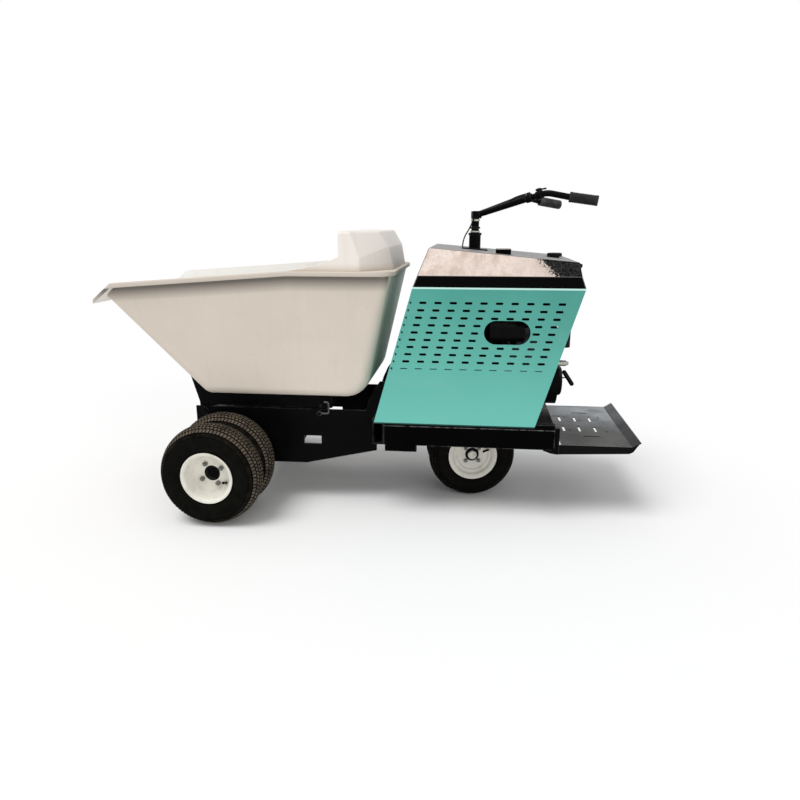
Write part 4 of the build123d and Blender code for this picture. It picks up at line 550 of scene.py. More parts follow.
def make_finishes(context):
    """All finishes by the name of their material slot or their node, and a few extra ones."""
    tint = context.scene.buggy_finish
    return {
        "tub_plastic": moulded_plastic("tub_moulding", tint.tub, tint.hood),
        "frame_black": black_paint("frame_paint", tint.black, 0.035, 0.26),
        # The rail's paint is darker and duller, and carries a painted highlight line along its top edge
        "rear_rail_left": black_paint("rail_paint", shade(tint.black, 0.6), 0.012, 0.8, RAIL_HIGHLIGHT_Z),
        "latch_hook": plain_metal("latch_wire", LATCH_WIRE, 0.5, 40.0),
        "cowl_black": cowl_paint("cowl_paint", tint.black, tint.film, tint.roof),
        "panel_teal": panel_paint("panel_paint", tint.teal, tint.teal_floor_lit),
        "rim_cream": rim_paint("rim_paint", tint.cream, shade(tint.dust, 3.0)),
        "tyre": rubber("tyre_rubber", tint.rubber, shade(tint.dust, 0.14), 0.25),
        "tread": tread_top("tyre_tread", tint.rubber, tint.dust),
        "tread_clean": rubber("tyre_tread_clean", tint.rubber, shade(tint.dust, 0.4), 0.6),
        "platform": platform_paint("platform_paint", tint.black),
        "zinc": plain_metal("zinc_plate", tint.zinc, 0.38, 40.0),
        "nut": plain_metal("nut_plate", shade(tint.zinc, 0.42), 0.46, 60.0),
        "engine_grey": plain_metal("cast_alloy", tint.alloy, 0.5, 25.0),
        "engine_black": dark_plastic("engine_paint", shade(tint.black, 0.8), 0.05),
        "black_plastic": dark_plastic("black_moulding", shade(tint.black, 1.2), 0.10),
        "grip_rubber": rubber("grip_rubber", tint.rubber, GRIP_DUST, 0.35, 0.3),
        "grip_dusty": rubber("grip_rubber_dusty", shade(tint.rubber, 3.0), GRIP_HEAVY_DUST, 0.55, 0.3),
        "hose_rubber": rubber("cable_cover", tint.rubber, CABLE_DUST, 0.35, 0.3),
        "rope": rubber("starter_cord", ROPE_CORE, ROPE_FLUFF, 0.6),
    }


FINISH = {}


# Modelling helpers

FACING_UP = 0.9
SAME_POINT = 1e-5
NUT_CROWN = (0.14, 0.08)
STUD_CROWN = (0.25, 0.06)
COLLAR_EDGE = 0.0012


def clear_selection():
    """Nothing selected, in object mode."""
    if bpy.context.mode != "OBJECT":
        bpy.ops.object.mode_set(mode="OBJECT")
    bpy.ops.object.select_all(action="DESELECT")


def pick(piece):
    """Makes a piece the only one selected."""
    clear_selection()
    piece.select_set(True)
    bpy.context.view_layer.objects.active = piece


def settle(piece, name):
    """Names a piece and puts its place into its mesh."""
    piece.name = name
    piece.data.name = name
    pick(piece)
    bpy.ops.object.transform_apply(location=True, rotation=True, scale=True)
    return piece


def smooth(piece, degrees=30.0):
    """Smooth shading that keeps sharp folds."""
    pick(piece)
    bpy.ops.object.shade_smooth_by_angle(angle=math.radians(degrees))
    return piece


def finish_as(piece, slot, *nodes, finish=None):
    """Gives a piece its finish, or its slot's one, and hides the nodes that it stands for."""
    if not piece.data.materials:
        piece.data.materials.append(FINISH[finish or slot])
    if nodes:
        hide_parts(*nodes)
    return piece


def dress(piece, body, slot, *nodes, finish=None):
    """Puts a piece on its body, gives it its finish, or its slot's one, and hides the nodes that it stands for."""
    finish_as(piece, slot, *nodes, finish=finish)
    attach(piece, body)
    return piece


def close_mesh(piece):
    """Merges doubled points and turns all faces outwards."""
    pick(piece)
    bpy.ops.object.mode_set(mode="EDIT")
    bpy.ops.mesh.select_all(action="SELECT")
    bpy.ops.mesh.remove_doubles(threshold=SAME_POINT)
    bpy.ops.mesh.normals_make_consistent(inside=False)
    bpy.ops.object.mode_set(mode="OBJECT")


def spun_ring(name, section, steps, twist=None):
    """Closed section of radius and offset points, turned about a lateral line through the origin."""
    clear_selection()
    bpy.ops.mesh.primitive_circle_add(vertices=len(section))
    piece = bpy.context.object
    for vertex, (radius, offset) in zip(piece.data.vertices, section):
        angle = twist(offset) if twist else 0.0
        vertex.co = Vector((radius * math.cos(angle), offset, radius * math.sin(angle)))
    bpy.ops.object.mode_set(mode="EDIT")
    bpy.ops.mesh.select_all(action="SELECT")
    bpy.ops.mesh.spin(steps=steps, angle=TAU, center=(0, 0, 0), axis=(0, 1, 0))
    bpy.ops.object.mode_set(mode="OBJECT")
    close_mesh(piece)
    return settle(piece, name)


def raise_faces(piece, wanted, taper, height, finish=0):
    """Lifts the wanted faces on tapered sides and gives them one of the piece's finishes."""
    pick(piece)
    bpy.ops.object.mode_set(mode="EDIT")
    bpy.ops.mesh.select_mode(type="FACE")
    bpy.ops.mesh.select_all(action="DESELECT")
    mesh = bmesh.from_edit_mesh(piece.data)
    for face in mesh.faces:
        face.select_set(wanted(face))
    mesh.select_flush_mode()
    bmesh.update_edit_mesh(piece.data)
    bpy.ops.mesh.inset(thickness=taper, depth=height, use_even_offset=True)
    bpy.ops.object.mode_set(mode="OBJECT")
    for polygon in piece.data.polygons:
        if polygon.select:
            polygon.material_index = finish


def copy_of(piece, name):
    """Copy with its own mesh."""
    twin = piece.copy()
    twin.data = piece.data.copy()
    twin.name = name
    twin.data.name = name
    bpy.context.collection.objects.link(twin)
    return twin


def discard(*pieces):
    """Removes patterns that have been copied."""
    for piece in pieces:
        bpy.data.objects.remove(piece)


def join(pieces):
    """Joins pieces into the first one."""
    clear_selection()
    for piece in pieces:
        piece.select_set(True)
    bpy.context.view_layer.objects.active = pieces[0]
    bpy.ops.object.join()
    return pieces[0]


def sided(point, side):
    """A right side's point or direction, on the side that is meant."""
    return Vector((point[0], side * point[1], point[2]))


def turned_to(point, direction, turn=0.0):
    """Transform that brings an upright piece to a point, with its top towards a direction."""
    aim = Vector(direction).to_track_quat("Z", "Y").to_matrix().to_4x4()
    return Matrix.Translation(point) @ aim @ Matrix.Rotation(turn, 4, "Z")


def array_of(name, pattern, transforms):
    """One piece made of copies of a pattern."""
    copies = []
    for transform in transforms:
        twin = copy_of(pattern, name)
        twin.data.transform(transform)
        copies.append(twin)
    return settle(join(copies), name)


def steer_turn():
    """Transform from straight ahead to the steering's stored place."""
    turn = Matrix.Rotation(STEER_ANGLE, 4, "Z")
    return Matrix.Translation(COLUMN) @ turn @ Matrix.Translation(-COLUMN)


def upright_ring(radius, inner, low, high):
    """Section of a ring with rounded edges."""
    edge = min(COLLAR_EDGE, (high - low) / 4)
    return [
        (inner, low), (radius - edge, low), (radius, low + edge), (radius, high - edge),
        (radius - edge, high), (inner, high),
    ]


def mirrored_section(half_section, between=()):
    """Half section completed on the other side, with what lies between its ends."""
    other = [(radius, -offset) for radius, offset in reversed(half_section) if offset > SAME_POINT]
    return [*half_section, *between, *other]


def arc_through(start, middle, end, count):
    """Points on the arc through three points."""
    (ax, ay), (bx, by), (cx, cy) = start, middle, end
    squares = [ax * ax + ay * ay, bx * bx + by * by, cx * cx + cy * cy]
    double = 2 * (ax * (by - cy) + bx * (cy - ay) + cx * (ay - by))
    mid_x = (squares[0] * (by - cy) + squares[1] * (cy - ay) + squares[2] * (ay - by)) / double
    mid_y = (squares[0] * (cx - bx) + squares[1] * (ax - cx) + squares[2] * (bx - ax)) / double
    first = math.atan2(ay - mid_y, ax - mid_x)
    last = math.atan2(cy - mid_y, cx - mid_x)
    radius = math.hypot(ax - mid_x, ay - mid_y)
    angles = [first + (last - first) * step / (count - 1) for step in range(count)]
    return [(mid_x + radius * math.cos(angle), mid_y + radius * math.sin(angle)) for angle in angles]


def crowned_post(name, sides, radius, height, crown):
    """Post on the origin whose top narrows by a share of its radius over a share of its height."""
    clear_selection()
    depth = height * (1.0 - crown[1])
    bpy.ops.mesh.primitive_cylinder_add(
        vertices=sides, radius=radius, depth=depth, location=(0, 0, depth / 2)
    )
    post = settle(bpy.context.object, name)
    raise_faces(post, lambda face: face.normal.z > FACING_UP, radius * crown[0], height * crown[1])
    return post


def hex_nut(name, corner, height, stud=0.0, stud_height=0.0):
    """Hexagon nut or bolt head, seated on the origin, with or without a stud."""
    nut = crowned_post(name, 6, corner, height, NUT_CROWN)
    if stud:
        join([nut, crowned_post(f"{name}_stud", 14, stud, stud_height, STUD_CROWN)])
    return smooth(nut)


# Wheels

TREAD_STEPS = 6
HALF_BLOCK = TREAD_STEPS // 2
FRONT_COLUMNS = ((0.0, 0.0080), (0.0108, 0.0232), (0.0260, 0.0400), (0.0428, 0.0600))
REAR_COLUMNS = ((0.0, 0.0060), (0.0084, 0.0176), (0.0200, 0.0300), (0.0324, 0.0430))
CROWN_EDGE = 0.8
CROWN_DROP = 0.1
SHOULDER = (0.845, 0.96)
RIM_FLANGE = 0.116
WALL_FOOT = 0.119
WALL_POINTS = 14
RIDGE = ((0.0016, -0.0006), (0.0, 0.0008), (-0.0016, 0.0))
BEAD_SEAT = 0.1017
BEAD_INSET = 0.0061
BEAD_WIDTH = 0.013
BEAD_TOP = 0.127
LINING_FOOT = (0.160, 0.021)
LINING_TOP = (0.025, 0.041)
RIM_STEPS = 96
LUG_COUNT = 4
FRONT_LUG_CIRCLE = 0.0508
FRONT_LUG_TURN = math.radians(31.0)
REAR_LUG_CIRCLE = 0.043
REAR_LUG_TURN = math.radians(45.0)
NUT_HEIGHT = 0.0122
FRONT_STUD_HEIGHT = 0.0198
REAR_STUD_HEIGHT = 0.0168
FRONT_NUT_SEAT = 0.0025
REAR_NUT_SEAT = 0.0240
FRONT_VALVE_FOOT = (0.0460, 0.0020, -0.0450)
FRONT_VALVE_LEAN = (0.74, 0.60, 0.32)
REAR_VALVE_FOOT = (0.0555, 0.0230, 0.0125)
REAR_VALVE_LEAN = (0.62, 0.62, 0.48)
VALVE_SECTION = (
    (0.0, 0.0), (0.0062, 0.0), (0.0060, 0.004), (0.0046, 0.007), (0.0042, 0.022), (0.0050, 0.023),
    (0.0050, 0.033), (0.0040, 0.035), (0.0, 0.035),
)
FRONT_HUB_SECTION = (
    (0.0, 0.195), (0.020, 0.195), (0.020, 0.2645), (0.030, 0.2645), (0.030, 0.3465), (0.065, 0.3465),
    (0.066, 0.3475), (0.066, 0.3555), (0.065, 0.3565), (0.030, 0.3565), (0.030, 0.5195), (0.065, 0.5195),
    (0.066, 0.5205), (0.066, 0.5285), (0.065, 0.5295), (0.0285, 0.5295), (0.0265, 0.5265), (0.0, 0.5265),
)
FRONT_RIM_HALF_SECTION = (
    (0.0845, 0.0), (0.0845, 0.0115), (0.1016, 0.0505), (0.1016, 0.0600), (0.1024, 0.0640),
    (0.1060, 0.0662), (0.1135, 0.0670), (0.1156, 0.0686), (0.1160, 0.0704), (0.1152, 0.0717),
    (0.1130, 0.0720), (0.1075, 0.0700), (0.1015, 0.0668), (0.0985, 0.0620), (0.0965, 0.0500),
    (0.0900, 0.0330), (0.0825, 0.0140), (0.0785, 0.0070), (0.0730, 0.0036), (0.0660, 0.0025),
    (0.0380, 0.0025), (0.0355, 0.0018),
)
REAR_RIM_BARREL = (
    (0.0845, 0.0), (0.0845, 0.0070), (0.1016, 0.0360), (0.1016, 0.0430), (0.1024, 0.0465),
    (0.1060, 0.0484), (0.1135, 0.0492), (0.1156, 0.0508), (0.1160, 0.0524), (0.1152, 0.0537),
    (0.1130, 0.0540),
)
REAR_RIM_DISH = (
    (0.1085, 0.0522), (0.1000, 0.0485), (0.0955, 0.0450), (0.0925, 0.0390), (0.0905, 0.0350),
    (0.0875, 0.0330), (0.0790, 0.0316), (0.0762, 0.0300), (0.0730, 0.0258), (0.0700, 0.0243),
    (0.0350, 0.0243), (0.0330, 0.0236), (0.0330, 0.0192), (0.0690, 0.0192), (0.0735, 0.0170),
    (0.0785, 0.0060), (0.0800, -0.0070), (0.0970, -0.0360), (0.0980, -0.0460), (0.1080, -0.0515),
)
REAR_HUB_SECTION = (
    (0.0126, -0.048), (0.023, -0.048), (0.024, -0.047), (0.024, 0.011), (0.065, 0.011), (0.066, 0.012),
    (0.066, 0.0188), (0.024, 0.0188), (0.024, 0.029), (0.023, 0.030), (0.0, 0.030), (0.0, 0.0262),
    (0.0126, 0.0262),
)
REAR_CAP_SECTION = (
    (0.0, 0.030), (0.0218, 0.030), (0.0218, 0.0335), (0.0205, 0.0345), (0.0205, 0.0385),
    (0.0190, 0.0398), (0.0, 0.0400),
)


def crown_radius(radius, half, offset):
    """Radius of the rounded tread at an offset from its middle."""
    edge, drop = CROWN_EDGE * half, CROWN_DROP * radius
    arc = (edge ** 2 + drop ** 2) / (2 * drop)
    return radius - arc + math.sqrt(arc ** 2 - offset ** 2)


def tyre_half_section(radius, half, rim_half, columns, sizes):
    """Half section of a tyre, and the radii of the shoulder that carries the lugs."""
    tread = [(crown_radius(radius, half, y) - sizes.block_height, y) for column in columns for y in column]
    edge = Vector(((1.0 - CROWN_DROP) * radius, CROWN_EDGE * half))
    shoulder = Vector((SHOULDER[0] * radius, SHOULDER[1] * half))
    run = (shoulder - edge).normalized()
    sink = Vector((run.y, -run.x)) * sizes.lug_height
    lug_top, lug_foot = edge - sink, shoulder - sink
    bead_y = rim_half - BEAD_INSET
    bulge = ((shoulder.x + RIM_FLANGE) / 2, half)
    wall = arc_through(tuple(shoulder), bulge, (WALL_FOOT, bead_y), WALL_POINTS)[1:]
    ridge_r, ridge_y = wall[1]
    wall[1:2] = [(ridge_r + rise, ridge_y + out) for rise, out in RIDGE]
    beads = [(BEAD_SEAT, bead_y), (BEAD_SEAT, bead_y - BEAD_WIDTH), (BEAD_TOP, bead_y - BEAD_WIDTH)]
    ceiling = radius - LINING_TOP[0]
    lining = [(LINING_FOOT[0], half - LINING_FOOT[1]), (ceiling, half - LINING_TOP[1]), (ceiling, 0.0)]
    return tread + [tuple(lug_top), tuple(lug_foot)] + wall + beads + lining, (lug_top.x, lug_foot.x)


def tread_tyre(name, radius, half, rim_half, columns, sizes, worn):
    """Tyre with a rounded tread cut into blocks, shoulder lugs, bulging sidewalls and beads."""
    half_section, lug_span = tyre_half_section(radius, half, rim_half, columns, sizes)
    edge = columns[-1][1]
    pitch = TAU / sizes.blocks
    steps = sizes.blocks * TREAD_STEPS

    def chevron(offset):
        return 0.5 * pitch * min(1.0, abs(offset) / edge)

    def step_at(centre):
        angle = math.atan2(centre.z, centre.x) - chevron(centre.y)
        return math.floor((angle % TAU) / (TAU / steps) + 1e-6)

    def faces_out(face, centre):
        return face.normal.dot(Vector((centre.x, 0, centre.z))) > 0

    def is_block(face):
        centre = face.calc_center_median()
        reach = math.hypot(centre.x, centre.z)
        if reach < lug_span[0] or not faces_out(face, centre):
            return False
        for index, (low, high) in enumerate(columns):
            if low < abs(centre.y) < high:
                side_shift = HALF_BLOCK if index and centre.y < 0 else 0
                return (step_at(centre) + HALF_BLOCK * index + side_shift) % TREAD_STEPS != 0
        return False

    def is_lug(face):
        centre = face.calc_center_median()
        reach = math.hypot(centre.x, centre.z)
        inside = lug_span[1] < reach < lug_span[0] and abs(centre.y) > edge
        return inside and faces_out(face, centre) and step_at(centre) % HALF_BLOCK != 0

    tyre = spun_ring(name, mirrored_section(half_section), steps, chevron)
    for finish in ("tyre", worn, "tread_clean"):
        tyre.data.materials.append(FINISH[finish])
    raise_faces(tyre, is_block, sizes.block_taper, sizes.block_height, finish=1)
    raise_faces(tyre, is_lug, sizes.block_taper, sizes.lug_height, finish=2)
    return smooth(tyre, 28.0)


def valve_stem(name):
    """Rubber tyre valve with its cap, seated on the origin."""
    stem = spun_ring(name, VALVE_SECTION, 16)
    stem.data.transform(STAND_UP)
    return smooth(stem)


def lug_places(circle, turn):
    """Places of the wheel studs round the axle, across and up, with their angles."""
    angles = [turn + TAU / LUG_COUNT * index for index in range(LUG_COUNT)]
    return [(circle * math.cos(angle), circle * math.sin(angle), angle) for angle in angles]


def mount(body, name, side, spot, nut, valve):
    """Sets a wheel's nuts and valve, each given as its name, pattern and places, on the wheel's spot."""
    label, pattern, places, seat = nut
    seats = [spot @ turned_to((x, side * seat, z), (0, side, 0), angle) for x, z, angle in places]
    dress(array_of(f"{label}_{name}", pattern, seats), body, "zinc", finish="nut")
    label, pattern, foot, lean = valve
    stem = spot @ turned_to(sided(foot, side), sided(lean, side))
    dress(array_of(f"{label}_{name}", pattern, [stem]), body, "black_plastic")


class BUGGY_OT_front_wheels(bpy.types.Operator):
    """Four front tyres with block tread on bowl-shaped rims, with hubs, nuts and valves"""

    bl_idname = "buggy.front_wheels"
    bl_label = "Front wheels"

    def execute(self, context):
        sizes, fittings = context.scene.buggy_tyres, context.scene.buggy_fittings
        tyre = tread_tyre(
            "front_tyre", sizes.front_radius, sizes.front_half, sizes.front_rim_half, FRONT_COLUMNS, sizes,
            "tread",
        )
        rim = smooth(spun_ring("front_rim", mirrored_section(FRONT_RIM_HALF_SECTION), RIM_STEPS), 40.0)
        nut = hex_nut("front_nut", fittings.front_nut, NUT_HEIGHT, fittings.stud, FRONT_STUD_HEIGHT)
        valve = valve_stem("front_valve")
        lugs = lug_places(FRONT_LUG_CIRCLE, FRONT_LUG_TURN)
        outer_y = abs(FRONT_AXLE.y)
        for name, side in SIDES.items():
            body = f"front_wheels_{name}"
            for way, y in (("outer", outer_y), ("inner", outer_y - DUAL_PITCH)):
                spot = Matrix.Translation((FRONT_AXLE.x, side * y, FRONT_AXLE.z))
                for source, kind, slot in ((tyre, "tyre", "tyre"), (rim, "rim", "rim_cream")):
                    twin = copy_of(source, f"{way}_{kind}_{name}")
                    twin.data.transform(spot)
                    dress(twin, body, slot, f"front_{kind}_{way}_{name}")
                mount(
                    body, name, side, spot, (f"{way}_nuts", nut, lugs, FRONT_NUT_SEAT),
                    (f"{way}_valve", valve, FRONT_VALVE_FOOT, FRONT_VALVE_LEAN),
                )
            section = [(radius, side * offset) for radius, offset in FRONT_HUB_SECTION]
            hub = smooth(spun_ring(f"hub_{name}", section, 64))
            hub.data.transform(Matrix.Translation((FRONT_AXLE.x, 0.0, FRONT_AXLE.z)))
            dress(hub, body, "frame_black", f"front_hub_{name}")
        discard(tyre, rim, nut, valve)
        return {"FINISHED"}


class BUGGY_OT_rear_wheels(bpy.types.Operator):
    """Two steered rear tyres on rims with a stepped dish, with hubs, dust caps, nuts and valves"""

    bl_idname = "buggy.rear_wheels"
    bl_label = "Rear wheels"

    def execute(self, context):
        sizes, fittings = context.scene.buggy_tyres, context.scene.buggy_fittings
        tyre = tread_tyre(
            "rear_tyre", sizes.rear_radius, sizes.rear_half, sizes.rear_rim_half, REAR_COLUMNS, sizes,
            "tread_clean",
        )
        nut = hex_nut("rear_nut", fittings.rear_nut, NUT_HEIGHT, fittings.stud, REAR_STUD_HEIGHT)
        valve = valve_stem("rear_valve")
        lugs = lug_places(REAR_LUG_CIRCLE, REAR_LUG_TURN)
        for name, side in SIDES.items():
            body = f"rear_wheel_{name}"
            centre = Vector((COLUMN.x, side * REAR_WHEEL_Y, sizes.rear_radius))
            spot = steer_turn() @ Matrix.Translation(centre)
            twin = copy_of(tyre, f"tyre_rear_{name}")
            twin.data.transform(spot)
            dress(twin, body, "tyre", f"rear_tyre_{name}")
            for kind, points, slot, nodes in (
                ("rim", mirrored_section(REAR_RIM_BARREL, REAR_RIM_DISH), "rim_cream", (f"rear_rim_{name}",)),
                ("hub", REAR_HUB_SECTION, "frame_black", ()),
                ("cap", REAR_CAP_SECTION, "zinc", ()),
            ):
                section = [(radius, side * offset) for radius, offset in points]
                ring = spun_ring(f"{kind}_rear_{name}", section, RIM_STEPS)
                ring.data.transform(spot)
                dress(smooth(ring, 35.0), body, slot, *nodes)
            mount(
                body, name, side, spot, ("nuts_rear", nut, lugs, REAR_NUT_SEAT),
                ("valve_rear", valve, REAR_VALVE_FOOT, REAR_VALVE_LEAN),
            )
        discard(tyre, nut, valve)
        return {"FINISHED"}


# Handlebar, cables and small fittings

BAR_GRIP = (0.345, 0.266, 0.069)
BAR_END = (0.457, 0.300, 0.052)
GRIP_LENGTH = 0.114
GRIP_RIBS = 14
GRIP_GROOVE = 0.0017
GRIP_PLAIN = 0.0080
GRIP_BORE = 0.0131
GRIP_SEAT = 0.003
GRIP_TIP = ((0.004, -0.0040), (0.0012, -0.0028), (0.0, 0.0))
GRIP_COLLAR_EDGE = 0.002
GRIP_FINISH = {"left": "grip_rubber", "right": "grip_dusty"}
CABLE_LOWER_ROUTE = (
    (1.0610, 0.0, 1.1800), (1.0640, -0.0030, 1.2181), (1.0930, -0.0180, 1.2621), (1.10945, -0.0253, 1.3047),
)
CABLE_UPPER_ROUTE = ((0.1931, -0.1765, 0.0837), (0.1627, -0.1497, 0.0785), (0.1287, -0.1197, 0.0581))
ROPE_ROUTE = ((1.5300, -0.110, 0.596), (1.5404, -0.110, 0.596), (1.5507, -0.110, 0.596))
COLLARS = {"thrust_collar": (0.0225, 0.0206, 1.2440, 1.2505), "head_collar": (0.0208, 0.0171, 1.2935, 1.3030)}
TAP_FOOT = (1.5052, -0.140, 0.670)
TAP_SECTION = (
    (0.0, 0.0), (0.0134, 0.0), (0.0134, 0.0380), (0.0122, 0.0392), (0.0084, 0.0392), (0.0084, 0.0480),
    (0.0072, 0.0494), (0.0, 0.0494),
)
CRADLE_BOLT_FOOT = (-0.119, 0.5158)
CRADLE_BOLT_RUN = (-0.656, 0.755)
CRADLE_BOLT_SHARES = (0.022, 0.062)
CRADLE_BOLT_Y = (-0.205, -0.150, 0.150, 0.205)
CRADLE_BOLT_OUT = (-1.0, 0.0, -1.0)
CRADLE_BOLT_HEIGHT = 0.0092
CRADLE_BOLT_TURN = 0.3
PANEL_FRONT_LOW = (0.695, 0.431)
PANEL_LEAN = 0.170 / 0.597
PANEL_FACE_Y = 0.387
SLOT_FIRST_Z = 0.9635
SLOT_PITCH_Z = 0.0313
SLOT_ROWS = 10
RIVET_HEIGHT = 0.0022
RIVET_INSET = 0.010


def cord_tube(name, route, radius):
    """Cord round a smooth line that has a route's points as its control points, and that line's points."""
    line = bpy.data.curves.new(name, "CURVE")
    line.dimensions = "3D"
    line.resolution_u = 16
    spline = line.splines.new("NURBS")
    spline.points.add(len(route) - 1)
    for control, point in zip(spline.points, route):
        control.co = (*point, 1.0)
    spline.order_u = 3
    spline.use_endpoint_u = True
    cord = bpy.data.objects.new(name, line)
    bpy.context.collection.objects.link(cord)
    thread = bpy.data.meshes.new_from_object(cord)
    path = [tuple(vertex.co) for vertex in thread.vertices]
    bpy.data.meshes.remove(thread)
    line.bevel_depth = radius
    line.bevel_resolution = 4
    line.use_fill_caps = True
    pick(cord)
    bpy.ops.object.convert(target="MESH")
    tube = bpy.context.object
    close_mesh(tube)
    return smooth(settle(tube, name), 50.0), path


class BUGGY_OT_cables(bpy.types.Operator):
    """Throttle cable beside the column and over the left arm, and the starter rope"""

    bl_idname = "buggy.cables"
    bl_label = "Cables and rope"

    def execute(self, context):
        fittings = context.scene.buggy_fittings
        route = [place(*point) for point in CABLE_LOWER_ROUTE]
        lower, path = cord_tube("cable_column", route, fittings.cable)
        finish_as(lower, "hose_rubber", "throttle_cable_lower")
        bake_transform(lower)
        route = [steer_turn() @ (HEAD + Vector(point)) for point in CABLE_UPPER_ROUTE]
        upper_shading, path = cord_tube("cable_bar", route, fittings.cable)
        dress(upper_shading, "steering", "hose_rubber", "throttle_cable_upper")
        route = [place(*point) for point in ROPE_ROUTE]
        rope = cord_tube("pull_rope", route, fittings.rope)[0]
        finish_as(rope, "rope", "starter_rope")
        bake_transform(rope)
        return {"FINISHED"}


def grip_section(outer):
    """Section of a ribbed grip, from its closed tip to its open end."""
    groove = outer - GRIP_GROOVE
    tip = [(outer - inset, offset) for inset, offset in GRIP_TIP]
    section = [(0.0, tip[0][1]), *tip, (outer, GRIP_PLAIN)]
    pitch = (GRIP_LENGTH - 2 * GRIP_PLAIN) / GRIP_RIBS
    for rib in range(GRIP_RIBS):
        for radius, share in ((groove, 0.12), (groove, 0.42), (outer, 0.54), (outer, 1.0)):
            section.append((radius, GRIP_PLAIN + (rib + share) * pitch))
    section += [(outer, GRIP_LENGTH - GRIP_COLLAR_EDGE), (outer - GRIP_COLLAR_EDGE, GRIP_LENGTH)]
    return section + [(GRIP_BORE, GRIP_LENGTH), (GRIP_BORE, 0.0), (0.0, 0.0)]


class BUGGY_OT_grips(bpy.types.Operator):
    """Ribbed rubber grips on the ends of the handlebar"""

    bl_idname = "buggy.grips"
    bl_label = "Handlebar grips"

    def execute(self, context):
        grip = smooth(spun_ring("grip", grip_section(context.scene.buggy_fittings.grip), 40), 32.0)
        grip.data.transform(STAND_UP)
        for name, side in SIDES.items():
            start, end = sided(BAR_GRIP, side), sided(BAR_END, side)
            back = (start - end).normalized()
            foot = HEAD + end - back * GRIP_SEAT
            piece = array_of(f"grip_cover_{name}", grip, [steer_turn() @ turned_to(foot, back)])
            dress(piece, "steering", "grip_rubber", f"grip_{name}", finish=GRIP_FINISH[name])
        discard(grip)
        return {"FINISHED"}


class BUGGY_OT_fasteners(bpy.types.Operator):
    """Collars on the steering column, fuel tap cover, cradle bolts and panel rivets"""

    bl_idname = "buggy.fasteners"
    bl_label = "Fasteners"

    def execute(self, context):
        fittings = context.scene.buggy_fittings
        for name, sizes in COLLARS.items():
            ring = spun_ring(name, upright_ring(*sizes), 48)
            ring.data.transform(Matrix.Translation((COLUMN.x, 0.0, 0.0)) @ STAND_UP)
            dress(smooth(ring), "steering", "zinc")

        tap = spun_ring("fuel_tap_cover", TAP_SECTION, 32)
        tap.data.transform(turned_to(place(*TAP_FOOT), (1, 0, 0)) @ STAND_UP)
        dress(smooth(tap), "chassis", "zinc")

        head = hex_nut("cradle_bolt", fittings.cradle_bolt, CRADLE_BOLT_HEIGHT)
        seats = []
        for y in CRADLE_BOLT_Y:
            for share in CRADLE_BOLT_SHARES:
                x, z = (foot + run * share for foot, run in zip(CRADLE_BOLT_FOOT, CRADLE_BOLT_RUN))
                seats.append(turned_to(place(x, y, z), CRADLE_BOLT_OUT, CRADLE_BOLT_TURN))
        dress(array_of("cradle_bolt_heads", head, seats), "tub_body", "zinc")

        rivet = hex_nut("rivet", fittings.rivet, RIVET_HEIGHT)
        for name, side in SIDES.items():
            seats = []
            for row in range(SLOT_ROWS):
                z = SLOT_FIRST_Z - row * SLOT_PITCH_Z
                x = PANEL_FRONT_LOW[0] + PANEL_LEAN * (z - PANEL_FRONT_LOW[1]) + RIVET_INSET
                seats.append(turned_to(place(x, side * PANEL_FACE_Y, z), (0, side, 0)))
            dress(array_of(f"panel_rivets_{name}", rivet, seats), "chassis", "black_plastic")
        discard(head, rivet)
        return {"FINISHED"}


class BUGGY_OT_finishes(bpy.types.Operator):
    """Finishes for every part carried over from the frame"""

    bl_idname = "buggy.finishes"
    bl_label = "Finishes"

    def execute(self, context):
        FINISH.update(make_finishes(context))
        for entry in frame["record"]["subparts"]:
            mesh = NODES[entry["node"]].data
            mesh.materials.clear()
            mesh.materials.append(FINISH.get(entry["node"], FINISH[entry["material_slot"]]))
        return {"FINISHED"}


# Stage

FLOOR_TONE = (0.985, 0.985, 0.985)
LAMP_SPREAD = 0.6
SENSOR_WIDTH = 36.0


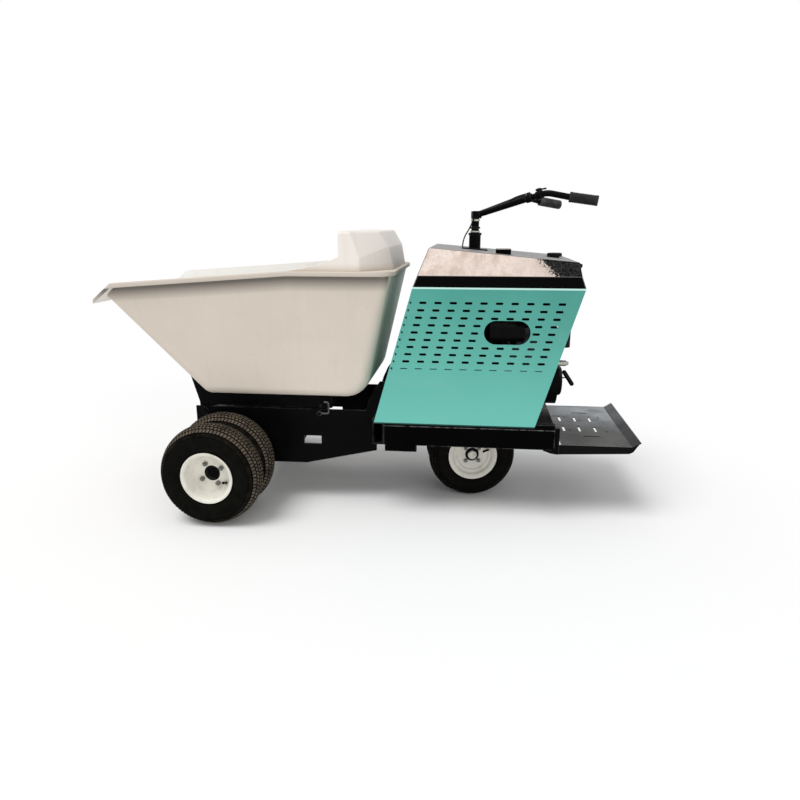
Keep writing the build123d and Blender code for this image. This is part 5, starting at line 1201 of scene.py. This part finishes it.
class BUGGY_OT_stage(bpy.types.Operator):
    """Pale floor, soft light and the camera"""

    bl_idname = "buggy.stage"
    bl_label = "Stage"

    def execute(self, context):
        setting = context.scene.buggy_stage
        clear_selection()
        bpy.ops.mesh.primitive_plane_add(size=setting.floor_size)
        floor = bpy.context.object
        floor.name = "floor"
        finish = Finish("floor_white", 0.1)
        finish.paint(FLOOR_TONE, 0.9)
        floor.data.materials.append(finish.material)

        world = bpy.data.worlds.new("studio")
        context.scene.world = world
        world.use_nodes = True
        background = world.node_tree.nodes["Background"]
        background.inputs["Color"].default_value = (1.0, 1.0, 1.0, 1.0)
        rays = new_node(world.node_tree, "LightPath", {}).outputs
        seen = most(rays["Is Camera Ray"], rays["Is Transmission Ray"], rays["Is Glossy Ray"])
        feed(ramp(seen, 0.0, 1.0, setting.sky, 1.0), background.inputs["Strength"])

        for name, strength, aim in (
            ("soft_sun", setting.sun, setting.sun_aim), ("soft_fill", setting.fill, setting.fill_aim),
        ):
            lamp = bpy.data.lights.new(name, "SUN")
            lamp.energy = strength
            lamp.angle = LAMP_SPREAD
            holder = bpy.data.objects.new(name, lamp)
            holder.rotation_euler = Vector(aim).to_track_quat("-Z", "Y").to_euler()
            context.scene.collection.objects.link(holder)

        lens = bpy.data.cameras.new("camera")
        lens.lens = setting.lens
        lens.sensor_width = SENSOR_WIDTH
        camera = bpy.data.objects.new("camera", lens)
        camera.location = setting.camera_place
        camera.rotation_euler = setting.camera_turn
        context.scene.collection.objects.link(camera)
        context.scene.camera = camera
        context.scene.view_settings.view_transform = "Standard"
        return {"FINISHED"}


OPERATORS = (
    BUGGY_OT_finishes, BUGGY_OT_stage, BUGGY_OT_cables, BUGGY_OT_front_wheels, BUGGY_OT_rear_wheels,
    BUGGY_OT_grips, BUGGY_OT_fasteners,
)


class BUGGY_PT_panel(bpy.types.Panel):
    """Buggy pieces, sizes and finishes"""

    bl_idname = "BUGGY_PT_panel"
    bl_label = "Power buggy"
    bl_space_type = "VIEW_3D"
    bl_region_type = "UI"
    bl_category = "Buggy"

    def draw(self, context):
        for operator in OPERATORS:
            self.layout.operator(operator.bl_idname)


SETTINGS = {
    "buggy_finish": BuggyFinish,
    "buggy_tyres": BuggyTyres,
    "buggy_fittings": BuggyFittings,
    "buggy_stage": BuggyStage,
}
CLASSES = (*SETTINGS.values(), *OPERATORS, BUGGY_PT_panel)


def register():
    for cls in CLASSES:
        bpy.utils.register_class(cls)
    for name, group in SETTINGS.items():
        setattr(bpy.types.Scene, name, PointerProperty(type=group))


def unregister():
    for name in SETTINGS:
        delattr(bpy.types.Scene, name)
    for cls in reversed(CLASSES):
        bpy.utils.unregister_class(cls)


def main():
    register()
    bpy.ops.buggy.finishes()
    bpy.ops.buggy.stage()
    bpy.ops.buggy.cables()
    bpy.ops.buggy.front_wheels()
    bpy.ops.buggy.rear_wheels()
    bpy.ops.buggy.grips()
    bpy.ops.buggy.fasteners()


if __name__ == "__main__":
    main()
